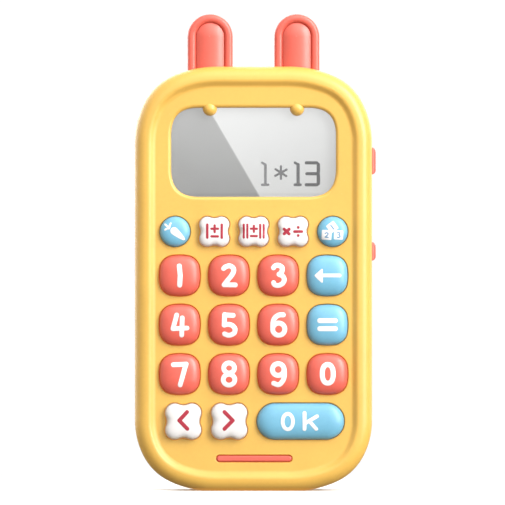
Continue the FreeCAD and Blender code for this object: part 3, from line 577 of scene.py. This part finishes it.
def loft(rings, close_first=True, close_last=True):
    """rings: list of (n, 3) arrays with the same n."""
    n = len(rings[0])
    verts = np.vstack(rings)
    faces = []
    for j in range(len(rings) - 1):
        a, b = j * n, (j + 1) * n
        for i in range(n):
            k = (i + 1) % n
            faces.append((a + i, a + k, b + k, b + i))
    if close_first:
        faces.append(tuple(range(n))[::-1])
    if close_last:
        faces.append(tuple(range((len(rings) - 1) * n, len(rings) * n)))
    return verts, faces


KEYS = {}


FLANGE = (k5_hi[0] - k5_lo[0]) / 2 - 6.75   # flange behind the face, the same on every key


def make_key(node, shape_kind, depth, power):
    lo, hi = box_mm(node)
    fl = FLANGE
    cx, cz = (lo[0] + hi[0]) / 2, (lo[2] + hi[2]) / 2
    half = (hi[2] - lo[2]) / 2 - fl
    top, foot = lo[1], hi[1]
    if shape_kind == "flower":
        half -= 0.04
    if shape_kind == "square":
        sh = Polar(corner_outline(((10.0, 16.03), (70.0, 4.59), (10.0, 16.03)), half), top, depth, power)
    elif shape_kind == "flower":
        sh = Polar(flower_outline(half), top, depth, power)
    elif shape_kind == "disc":
        t = np.linspace(0, 2 * np.pi, 200, endpoint=False)
        sh = Polar(np.stack([half * np.cos(t), half * np.sin(t)], 1), top, depth, power)
    else:
        sh = Pill((hi[0] - lo[0]) - 2 * fl, half * 2, top, depth, power)
    n = 128
    rings = []

    def put(s, y, off=0.0):
        x, z = sh.ring(s, n, off)
        rings.append(np.stack([(x + cx) * MM, np.full(n, y * MM), (z + cz) * MM], 1))

    put(1.0, foot, fl)
    put(1.0, foot - 1.0, fl)
    put(1.0, foot - 1.0, 0.0)
    put(1.0, foot - 1.6, 0.0)
    put(1.0, top + depth + 0.35, 0.0)
    for j in range(27):
        a = j / 26.0
        s = math.cos(a * math.pi / 2 * 0.97) ** 0.55 if a > 0 else 1.0
        y = top + depth * (1.0 - math.sqrt(max(0.0, 1.0 - s ** power)))
        put(s, y)
    verts, faces = loft(rings)
    sl = slot_of(node)
    ob = finish_mesh(node + "_cap", verts, faces, MATS[sl], node, sharp=40.0, replaces=[node])
    KEYS[node] = (sh, cx, cz)
    return ob


for nm in ("key_0", "key_1", "key_2", "key_3", "key_4", "key_5", "key_6", "key_7", "key_8", "key_9", "key_back", "key_equals"):
    make_key(nm, "square", 2.6, 2.5)
for nm in ("key_carrot", "key_blocks"):
    make_key(nm, "disc", 2.0, 2.6)
for nm in ("key_add_sub_1", "key_add_sub_2", "key_mul_div"):
    make_key(nm, "flower", 1.5, 5.0)
for nm in ("key_prev", "key_next"):
    make_key(nm, "flower", 1.8, 5.0)
make_key("key_ok", "pill", 2.6, 2.4)


def rounded_ring(x, cy, cz, a, b, r, m=14):
    """Rounded rectangle in the YZ plane, half sizes a by b, corner radius r."""
    out = []
    for q, (sy, sz) in enumerate(((1, 1), (-1, 1), (-1, -1), (1, -1))):
        for i in range(m):
            t = math.pi / 2 * (q + i / (m - 1.0))
            out.append((x * MM, (cy + sy * (a - r) + r * math.cos(t)) * MM, (cz + sz * (b - r) + r * math.sin(t)) * MM))
    return np.array(out)


def side_cap(node):
    """Side button: flange behind the wall and a domed cap."""
    lo, hi = box_mm(node)
    hw, hl = 1.8, (hi[2] - lo[2]) / 2 - 0.8
    cy, cz = lo[1] + hw, (lo[2] + hi[2]) / 2
    x0, x1 = lo[0], hi[0]
    rise, inset = 1.25, 1.7
    rings = [rounded_ring(x0, cy + 0.5, cz, hw + 0.5, hl + 0.8, 0.1), rounded_ring(x0 + 1.6, cy + 0.5, cz, hw + 0.5, hl + 0.8, 0.1),
             rounded_ring(x0 + 1.6, cy, cz, hw, hl, 0.3), rounded_ring(x1 - rise - 0.4, cy, cz, hw, hl, 0.3)]
    for i in range(13):
        t = math.pi / 2 * i / 12.0
        d = inset * (1.0 - math.cos(t))
        rings.append(rounded_ring(x1 - rise + rise * math.sin(t), cy, cz, hw - d, hl - d, min(hw - d - 0.02, 0.3 + d)))
    verts, faces = loft(rings)
    return finish_mesh(node + "_cap", verts, faces, MATS[slot_of(node)], node, sharp=40.0, replaces=[node])


for nm in ("side_button_upper", "side_button_lower"):
    side_cap(nm)


# ---------------------------------------------------------------- printed signs from strokes
def smooth_line(pts, closed=False, sub=10):
    p = np.array(pts, float)
    n = len(p)
    out = []
    rng = range(n) if closed else range(n - 1)
    for i in rng:
        p0 = p[(i - 1) % n] if closed or i > 0 else p[i] * 2 - p[i + 1]
        p1, p2 = p[i], p[(i + 1) % n]
        p3 = p[(i + 2) % n] if closed or i + 2 < n else p2 * 2 - p1
        for j in range(sub):
            t = j / sub
            out.append(0.5 * ((2 * p1) + (-p0 + p2) * t + (2 * p0 - 5 * p1 + 4 * p2 - p3) * t * t + (-p0 + 3 * p1 - 3 * p2 + p3) * t ** 3))
    if not closed:
        out.append(p[-1])
    return np.array(out)


def ellipse(cx, cz, rx, rz, n=64, power=2.0):
    t = np.linspace(0, 2 * np.pi, n, endpoint=False)
    c, s = np.cos(t), np.sin(t)
    e = 2.0 / power
    return np.stack([cx + rx * np.sign(c) * np.abs(c) ** e, cz + rz * np.sign(s) * np.abs(s) ** e], 1)


def stroke(pts, r, closed=False):
    return ("stroke", np.array(pts, float), r, closed)


def fill(pts, r=0.0):
    return ("fill", np.array(pts, float), r, True)


def seg_dist(px, pz, a, b):
    ax, az = a
    dx, dz = b[0] - ax, b[1] - az
    L = dx * dx + dz * dz + 1e-12
    t = np.clip(((px - ax) * dx + (pz - az) * dz) / L, 0.0, 1.0)
    return np.hypot(px - ax - t * dx, pz - az - t * dz)


def sdf(prims, px, pz):
    best = np.full(px.shape, 1e9)
    for kind, pts, r, closed in prims:
        d = np.full(px.shape, 1e9)
        m = len(pts)
        for i in range(m if closed else m - 1):
            d = np.minimum(d, seg_dist(px, pz, pts[i], pts[(i + 1) % m]))
        if kind == "fill":
            inside = np.zeros(px.shape, bool)
            for i in range(m):
                (x1, z1), (x2, z2) = pts[i], pts[(i + 1) % m]
                c = ((z1 > pz) != (z2 > pz)) & (px < (x2 - x1) * (pz - z1) / (z2 - z1 + 1e-15) + x1)
                inside ^= c
            d = np.where(inside, -d, d)
        best = np.minimum(best, d - r)
    return best


def clip_region(prims, step):
    """Triangles of the region where the distance is negative, with its edge found by interpolation."""
    los, his = [], []
    for kind, pts, r, closed in prims:
        los.append(pts.min(0) - r)
        his.append(pts.max(0) + r)
    lo, hi = np.min(los, 0) - step * 1.5, np.max(his, 0) + step * 1.5
    nx, nz = int(math.ceil((hi[0] - lo[0]) / step)) + 1, int(math.ceil((hi[1] - lo[1]) / step)) + 1
    gx, gz = lo[0] + np.arange(nx) * step, lo[1] + np.arange(nz) * step
    X, Z = np.meshgrid(gx, gz, indexing="ij")
    D = sdf(prims, X, Z)
    D[np.abs(D) < step * 0.02] = -step * 0.02
    verts, vid, faces = [], {}, []

    def grid(i, j):
        k = (i, j)
        if k not in vid:
            vid[k] = len(verts)
            verts.append((X[i, j], Z[i, j]))
        return vid[k]

    def cross(a, b):
        k = (a, b) if a < b else (b, a)
        if k not in vid:
            da, db = D[a], D[b]
            t = da / (da - db)
            vid[k] = len(verts)
            verts.append((X[a] + (X[b] - X[a]) * t, Z[a] + (Z[b] - Z[a]) * t))
        return vid[k]

    neg = D < 0
    cell = neg[:-1, :-1] | neg[1:, :-1] | neg[:-1, 1:] | neg[1:, 1:]
    for i, j in zip(*np.nonzero(cell)):
        i, j = int(i), int(j)
        c = [(i, j), (i + 1, j), (i + 1, j + 1), (i, j + 1)]
        if all(neg[q] for q in c):
            faces.append(tuple(grid(*q) for q in c))
            continue
        tris = ((c[0], c[1], c[2]), (c[0], c[2], c[3])) if (i + j) % 2 == 0 else ((c[0], c[1], c[3]), (c[1], c[2], c[3]))
        for t in tris:
            poly = []
            for q in range(3):
                a, b = t[q], t[(q + 1) % 3]
                if neg[a]:
                    poly.append(grid(*a))
                if neg[a] != neg[b]:
                    poly.append(cross(a, b))
            if len(poly) >= 3:
                faces.append(tuple(poly))
    return np.array(verts), faces


def printed(name, prims, surf, cx, cz, mat, body, slot, h=0.05, lift=0.0, step=0.11, sink=0.15, soft=0.12):
    """A thin raised layer of ink that follows surf(x, z); closed underneath."""
    V2, faces = clip_region(prims, step)
    d = -sdf(prims, V2[:, 0], V2[:, 1])
    up = h * np.clip(d / soft, 0.0, 1.0)
    up = h * np.sin(np.clip(d / soft, 0.0, 1.0) * math.pi / 2)
    y = surf(V2[:, 0], V2[:, 1])
    n = len(V2)
    topv = np.stack([(V2[:, 0] + cx) * MM, (y - lift - 0.008 - up) * MM, (V2[:, 1] + cz) * MM], 1)
    botv = topv.copy()
    botv[:, 1] = (y + sink) * MM
    count = {}
    for f in faces:
        for q in range(len(f)):
            a, b = f[q], f[(q + 1) % len(f)]
            if (b, a) in count:
                del count[(b, a)]
            else:
                count[(a, b)] = True
    allf = [tuple(f) for f in faces] + [tuple(i + n for i in reversed(f)) for f in faces]
    for a, b in count:
        allf.append((b, a, a + n, b + n))
    return finish_mesh(name, np.vstack([topv, botv]), allf, mat, body, sharp=50.0)


def sign(node, suffix, prims, mat, **kw):
    sh, cx, cz = KEYS[node]
    return printed(node + "_" + suffix, prims, sh.y, cx, cz, mat, node, slot_of(node), **kw)


one = [stroke([(-0.09, 3.2), (0.2, 0.0), (0.03, -3.2)], 0.83)]
two = [stroke(np.vstack([smooth_line([(-1.75, 2.39), (-1.02, 2.97), (0.29, 3.27), (1.46, 2.48), (1.55, 1.31), (0.73, -0.15), (-0.58, -1.75), (-1.6, -3.06)]), [(2.13, -3.12)]]), 0.82)]
three = [stroke(smooth_line([(-1.55, 2.62), (-1.02, 3.27), (0.09, 3.44), (1.25, 2.77), (1.31, 1.6), (0.64, 0.64), (0.29, 0.44)]), 0.82),
         stroke(smooth_line([(0.29, 0.44), (1.46, -0.15), (2.04, -1.31), (1.46, -2.62), (0.0, -3.32), (-1.17, -3.06), (-1.55, -2.39)]), 0.82)]
four = [stroke([(-0.96, 3.27), (-2.24, -1.31), (2.48, -1.08)], 0.78), stroke([(0.87, 2.33), (0.7, -3.44)], 0.78)]
five = [stroke([(-1.4, 3.44), (-1.57, -0.1)], 0.82), stroke([(-1.2, 3.3), (1.4, 3.15)], 0.82),
        stroke(smooth_line([(-1.57, -0.1), (-0.6, 0.15), (0.3, 0.1), (1.3, -0.35), (2.05, -1.35), (1.8, -2.65), (0.9, -3.3), (-0.2, -3.5), (-1.45, -3.05)]), 0.82)]
six = [stroke(ellipse(0.17, -1.46, 2.04, 2.04), 0.82, True),
       stroke(smooth_line([(1.69, 3.35), (0.4, 3.3), (-0.9, 2.55), (-1.65, 1.2), (-1.87, -0.9)]), 0.82)]
seven = [stroke([(-2.1, 3.2), (2.2, 3.4)], 0.8), stroke(smooth_line([(2.1, 3.3), (1.17, 0.0), (0.2, -3.55)]), 0.8)]
eight = [stroke(ellipse(0.06, 2.1, 1.78, 1.7), 0.8, True), stroke(ellipse(0.04, -1.8, 1.93, 1.82), 0.8, True)]
nine = [stroke(ellipse(0.0, 1.6, 1.95, 1.95), 0.82, True),
        stroke(smooth_line([(2.0, 1.6), (2.1, 0.0), (1.8, -1.6), (0.9, -3.0), (-0.1, -3.5), (-1.5, -3.0)]), 0.82)]
zero = [stroke(ellipse(0.09, 0.15, 1.83, 3.1, power=2.3), 0.85, True)]
for nm, g in zip("1234567890", (one, two, three, four, five, six, seven, eight, nine, zero)):
    sign("key_" + nm, "digit", g, INK_WHITE)

sign("key_back", "arrow", [fill([(-4.05, 0.0), (-1.85, 1.95), (-1.85, -2.1)], 0.3), stroke([(-1.6, 0.05), (4.1, 0.05)], 0.6)], INK_WHITE)
sign("key_equals", "sign", [stroke([(-2.6, 1.4), (2.65, 1.4)], 0.8), stroke([(-2.6, -1.31), (2.65, -1.31)], 0.8)], INK_WHITE)

# carrot: tapering root with a small gap to three leaves
root = []
for i in range(14):
    t = i / 13.0
    x, z = -0.3 + t * 3.15, 0.2 - t * 2.65
    root.append(("stroke", np.array([(x, z), (x + 0.25, z - 0.21)]), 1.02 * (1 - t) ** 0.6 + 0.24, False))
leaves = [stroke(smooth_line([(-1.85, 1.35), (-1.75, 2.1), (-1.45, 2.75)]), 0.32), stroke(smooth_line([(-1.95, 1.25), (-2.6, 1.75), (-3.3, 2.35)]), 0.34),
          stroke(smooth_line([(-2.0, 1.1), (-2.7, 0.95), (-3.3, 0.6)]), 0.34)]
sign("key_carrot", "sign", root + leaves, INK_WHITE)


def plus(x, z, h, r):
    return [stroke([(x - h, z), (x + h, z)], r), stroke([(x, z - h), (x, z + h)], r)]


sign("key_add_sub_1", "sign", [stroke([(-2.35, 2.3), (-2.35, -2.0)], 0.43), stroke([(2.5, 2.3), (2.5, -2.0)], 0.43)]
     + plus(0.12, 0.95, 1.1, 0.4) + [stroke([(-0.95, -1.6), (1.2, -1.6)], 0.4)], INK_CRIMSON)
sign("key_add_sub_2", "sign", [stroke([(x, 2.3), (x, -2.0)], 0.37) for x in (-3.3, -2.1, 2.2, 3.38)]
     + plus(0.08, 0.95, 1.0, 0.38) + [stroke([(-0.9, -1.5), (1.05, -1.5)], 0.38)], INK_CRIMSON)
sign("key_mul_div", "sign", [stroke([(-3.0, -0.75), (-1.35, 0.8)], 0.52), stroke([(-3.0, 0.8), (-1.35, -0.75)], 0.52),
                             stroke([(0.45, 0.0), (2.95, 0.0)], 0.46), stroke([(1.7, 1.38), (1.7, 1.42)], 0.46), stroke([(1.7, -1.32), (1.7, -1.28)], 0.46)], INK_CRIMSON)


def square(cx, cz, half, ang, r=0.35):
    a = math.radians(ang)
    h = half - r
    pts = [(cx + x * math.cos(a) - z * math.sin(a), cz + x * math.sin(a) + z * math.cos(a)) for x, z in ((h, h), (-h, h), (-h, -h), (h, -h))]
    return fill(pts, r)


blocks = [(-2.05, -1.15, 1.65, -3.0), (1.95, -1.15, 1.55, -2.0), (-0.15, 1.5, 1.55, 36.0)]
for i, (bx, bz, bh, ba) in enumerate(blocks):
    sign("key_blocks", "block_%d" % (i + 1), [square(bx, bz, bh, ba)], INK_WHITE)
small = {3: [stroke([(-0.05, 0.75), (0.0, -0.75)], 0.24)],
         1: [stroke(smooth_line([(-0.5, 0.5), (0.0, 0.8), (0.5, 0.4), (0.1, -0.2), (-0.5, -0.75)]), 0.2), stroke([(-0.5, -0.75), (0.6, -0.75)], 0.2)],
         2: [stroke(smooth_line([(-0.45, 0.65), (0.05, 0.85), (0.45, 0.45), (0.05, 0.08)]), 0.2), stroke(smooth_line([(0.05, 0.08), (0.55, -0.35), (0.05, -0.85), (-0.5, -0.65)]), 0.2)]}
for i, (bx, bz, bh, ba) in enumerate(blocks):
    a = math.radians(ba)
    g = []
    for kind, pts, r, cl in small[i + 1]:
        q = np.stack([bx + pts[:, 0] * math.cos(a) - pts[:, 1] * math.sin(a), bz + pts[:, 0] * math.sin(a) + pts[:, 1] * math.cos(a)], 1)
        g.append((kind, q, r, cl))
    sign("key_blocks", "digit_%d" % (i + 1), g, INK_BLUE, lift=0.045, h=0.03, step=0.08)

sign("key_prev", "sign", [stroke([(1.31, 3.2), (-1.31, 0.35), (1.4, -2.45)], 0.66)], INK_CRIMSON)
sign("key_next", "sign", [stroke([(-1.6, 3.2), (1.17, 0.35), (-1.6, -2.45)], 0.66)], INK_CRIMSON)
sign("key_ok", "label", [stroke(ellipse(-4.3, -0.05, 1.72, 2.6), 0.6, True), stroke([(1.3, 2.8), (1.3, -2.55)], 0.63),
                         stroke([(1.45, -0.65), (5.45, 1.72)], 0.6), stroke([(2.9, 0.1), (5.2, -2.55)], 0.6)], INK_WHITE)


# ---------------------------------------------------------------- figures on the display
def seg_ink(name, v):
    return ink(name, target((v, v, v + 3)), rough=0.5)


lcd_lo, lcd_hi = box_mm("lcd_panel")
lcd_y = lcd_lo[1]
# each figure has its own grey, paler towards the left: a painted reflection that follows the display glass's painted
# glare
shown = (
    ("one_a", [stroke([(2.9, 109.9), (4.0, 109.2)], 0.4), stroke([(4.0, 109.2), (4.0, 102.6)], 0.46), stroke([(2.9, 102.5), (4.95, 102.5)], 0.42)], 128),
    ("star", [stroke([(9.2, 108.7), (9.2, 104.5)], 0.38), stroke([(7.4, 107.7), (11.0, 105.4)], 0.38), stroke([(7.3, 105.5), (11.1, 107.6)], 0.38)], 108),
    ("one_b", [stroke([(13.9, 109.9), (14.9, 109.3)], 0.44), stroke([(14.95, 109.3), (14.95, 102.5)], 0.55), stroke([(13.9, 102.5), (15.7, 102.5)], 0.48)], 84),
    ("three", [stroke([(17.7, 109.85), (21.2, 109.85)], 0.54), stroke([(17.9, 106.2), (21.2, 106.2)], 0.54), stroke([(17.7, 102.5), (21.2, 102.5)], 0.54),
               stroke([(21.75, 109.3), (21.75, 106.8)], 0.58), stroke([(21.75, 105.7), (21.75, 102.9)], 0.58)], 72),
)
for nm, prims, v in shown:
    printed("lcd_figure_" + nm, prims, lambda x, z: np.full(np.shape(x), lcd_y), 0.0, 0.0, seg_ink("lcd_ink_%s_look" % nm, v), "case", "lcd_glass",
            h=0.02, lift=0.0, sink=0.05, soft=0.05)


# ---------------------------------------------------------------- battery springs as real coils
def coil(cx, cy, z0, z1, r0, r1, turns, wire, steps=150, sides=10):
    path = []
    for i in range(steps + 1):
        t = i / steps
        # closed end turns, open middle
        u = min(max((t - 0.16) / 0.68, 0.0), 1.0)
        zz = z0 + wire + (z1 - z0 - 2 * wire) * (0.08 * min(t / 0.16, 1.0) + 0.84 * u + 0.08 * min(max((t - 0.84) / 0.16, 0.0), 1.0))
        a = 2 * math.pi * turns * t
        r = r0 + (r1 - r0) * t
        path.append(np.array([cx + r * math.cos(a), cy + r * math.sin(a), zz]))
    rings = []
    for i, p in enumerate(path):
        tg = path[min(i + 1, steps)] - path[max(i - 1, 0)]
        tg /= np.linalg.norm(tg)
        side = np.array([p[0] - cx, p[1] - cy, 0.0])
        side /= np.linalg.norm(side)
        side -= tg * side.dot(tg)
        side /= np.linalg.norm(side)
        upv = np.cross(tg, side)
        ring = [p + wire * (math.cos(2 * math.pi * k / sides) * side + math.sin(2 * math.pi * k / sides) * upv) for k in range(sides)]
        rings.append(np.array(ring) * MM)
    return loft(rings)


c_lo, c_hi = box_mm("battery_cells")
p_lo, p_hi = box_mm("battery_contacts")
allv, allf = [], []
base = 0
z_low, z_high = 29.7 + 0.4, 79.2 - 0.4
for i, up in ((-1, True), (0, False), (1, True)):
    cxm = i * 11.2
    cym = (c_lo[1] + c_hi[1]) / 2
    if up:
        v, f = coil(cxm, cym, z_low, z_low + 4.2, 3.4, 2.35, 5.2, 0.36)
    else:
        v, f = coil(cxm, cym, z_high - 4.2, z_high, 2.35, 3.4, 5.2, 0.36)
    allv.append(v)
    allf += [tuple(q + base for q in ff) for ff in f]
    base += len(v)
finish_mesh("battery_coil_springs", np.vstack(allv), allf, MATS["nickel"], "case", sharp=60.0, replaces=["battery_springs"])


# ---------------------------------------------------------------- floor, light, camera
bpy.ops.mesh.primitive_plane_add(size=60.0, location=(0.0, 0.0, 0.0))
floor = bpy.context.object
floor.name = "floor"
fm = Mat("floor_look")
fn = fm.noise(6.0, 3.0, 0.5)
ff2 = fm.noise(900.0, 2.0, 0.5)
fp = fm.principled(Base_Color=fm.mix(fn, (0.78, 0.78, 0.78), (0.80, 0.80, 0.80)), Roughness=0.9, Normal=fm.bump(ff2, 0.05, 0.0001))
# the sweep fades to an even white away from the object
fx, fy, fz = fm.xyz()
fd = fm.math("SQRT", fm.math("ADD", fm.math("MULTIPLY", fx, fx), fm.math("MULTIPLY", fy, fy)))
fe = fm.n("ShaderNodeEmission")
fe.inputs["Strength"].default_value = 1.02
fmix = fm.n("ShaderNodeMixShader")
fm.put(fmix.inputs[0], fm.remap(fd, 0.035, 0.17, 0.0, 1.0))
fm.link(fp.outputs[0], fmix.inputs[1])
fm.link(fe.outputs[0], fmix.inputs[2])
# the sweep throws less light back on the object than it shows
fb = fm.n("ShaderNodeEmission")
fb.inputs["Strength"].default_value = 0.38
fb.inputs["Color"].default_value = (1.0, 0.86, 0.70, 1.0)
lp = fm.n("ShaderNodeLightPath")
fsel = fm.n("ShaderNodeMixShader")
fm.link(lp.outputs["Is Camera Ray"], fsel.inputs[0])
fm.link(fb.outputs[0], fsel.inputs[1])
fm.link(fmix.outputs[0], fsel.inputs[2])
fm.link(fsel.outputs[0], fm.out.inputs["Surface"])
floor.data.materials.append(fm.m)

# soft room: a broad glow from the front, a little up and to the right; white behind
world = bpy.data.worlds.new("studio")
bpy.context.scene.world = world
world.use_nodes = True
wt = world.node_tree
wt.nodes.clear()
wo = wt.nodes.new("ShaderNodeOutputWorld")
bg = wt.nodes.new("ShaderNodeBackground")
tc = wt.nodes.new("ShaderNodeTexCoord")


def wmath(op, a, b=0.0):
    nd = wt.nodes.new("ShaderNodeMath")
    nd.operation = op
    for i, v in enumerate((a, b)):
        if isinstance(v, bpy.types.NodeSocket):
            wt.links.new(v, nd.inputs[i])
        else:
            nd.inputs[i].default_value = v
    return nd.outputs[0]


def wdot(v):
    nd = wt.nodes.new("ShaderNodeVectorMath")
    nd.operation = "DOT_PRODUCT"
    wt.links.new(tc.outputs["Generated"], nd.inputs[0])
    n = math.sqrt(sum(c * c for c in v))
    nd.inputs[1].default_value = [c / n for c in v]
    return nd.outputs["Value"]


LOBE, LOBE_DIR, BASE, WALL = 2.17, (0.24, -0.88, 0.47), 0.30, 2.6
lobe = wmath("MULTIPLY", wmath("POWER", wmath("MAXIMUM", wdot(LOBE_DIR), 0.0), 3.0), LOBE)
mr = wt.nodes.new("ShaderNodeMapRange")
mr.interpolation_type = "SMOOTHSTEP"
wt.links.new(wdot((0.0, 1.0, 0.0)), mr.inputs[0])
for i, v in enumerate((0.1, 0.8, BASE, 3.3)):
    mr.inputs[1 + i].default_value = v
# a paler wall behind on the left, which edges the shaded side
wall = wmath("MULTIPLY", wmath("POWER", wmath("MAXIMUM", wdot((-0.90, 0.42, 0.10)), 0.0), 3.0), WALL)
total = wmath("ADD", wmath("ADD", lobe, wall), mr.outputs[0])
# the dim part of the room is warm, the lit part neutral
wf = wt.nodes.new("ShaderNodeMapRange")
wt.links.new(total, wf.inputs[0])
for i, v in enumerate((BASE, 1.1, 0.0, 1.0)):
    wf.inputs[1 + i].default_value = v
wcol = wt.nodes.new("ShaderNodeMix")
wcol.data_type = "RGBA"
wt.links.new(wf.outputs[0], wcol.inputs[0])
wcol.inputs[6].default_value = (1.14, 0.94, 0.70, 1.0)
wcol.inputs[7].default_value = (1.0, 1.0, 1.0, 1.0)
wseen = wt.nodes.new("ShaderNodeMix")
wseen.data_type = "RGBA"
wt.links.new(wcol.outputs[2], wseen.inputs[6])
wseen.inputs[7].default_value = (1.0, 1.0, 1.0, 1.0)
wt.links.new(wseen.outputs[2], bg.inputs["Color"])
# the room itself shows as an even white
wlp = wt.nodes.new("ShaderNodeLightPath")
wmx = wt.nodes.new("ShaderNodeMix")
wmx.data_type = "FLOAT"
wt.links.new(wlp.outputs["Is Camera Ray"], wmx.inputs[0])
wt.links.new(wlp.outputs["Is Camera Ray"], wseen.inputs[0])
wt.links.new(total, wmx.inputs[2])
wmx.inputs[3].default_value = 1.03
wt.links.new(wmx.outputs[0], bg.inputs["Strength"])
wt.links.new(bg.outputs[0], wo.inputs["Surface"])

# tall soft box at the right
from mathutils import Vector
strip = bpy.data.lights.new("strip_light", "AREA")
strip.shape = "RECTANGLE"
strip.size, strip.size_y = 0.55, 1.5
strip.energy = 41.0
strip_ob = bpy.data.objects.new("strip_light", strip)
bpy.context.scene.collection.objects.link(strip_ob)
strip_ob.location = (1.03, -0.88, 0.56)
aim = Vector((0.0, 0.0, 0.08)) - strip_ob.location
strip_ob.rotation_mode = "QUATERNION"
strip_ob.rotation_quaternion = aim.to_track_quat("-Z", "Y")

# soft box over the ears, weaker towards the foot
top = bpy.data.lights.new("top_light", "AREA")
top.shape = "RECTANGLE"
top.size, top.size_y = 0.40, 0.30
top.energy = 0.70
top_ob = bpy.data.objects.new("top_light", top)
bpy.context.scene.collection.objects.link(top_ob)
top_ob.rotation_mode = "QUATERNION"
top_ob.location = (0.08, -0.17, 0.45)
top_ob.rotation_quaternion = (Vector((0.0, 0.0, 0.10)) - top_ob.location).to_track_quat("-Z", "Y")

cam = bpy.data.cameras.new("camera")
cam.type = "PERSP"
cam.sensor_width = 36.0
cam.lens = 36.0 * 2.4 / 0.1692
cam.clip_start, cam.clip_end = 0.1, 60.0
cam.dof.use_dof = False
cam_ob = bpy.data.objects.new("camera", cam)
bpy.context.scene.collection.objects.link(cam_ob)
cam_ob.location = (-0.00033, -2.4 - 0.0076, 0.0798)
cam_ob.rotation_euler = (math.radians(90.0), 0.0, 0.0)
bpy.context.scene.camera = cam_ob

bpy.context.scene.view_settings.view_transform = "Standard"
bpy.context.scene.view_settings.look = "None"
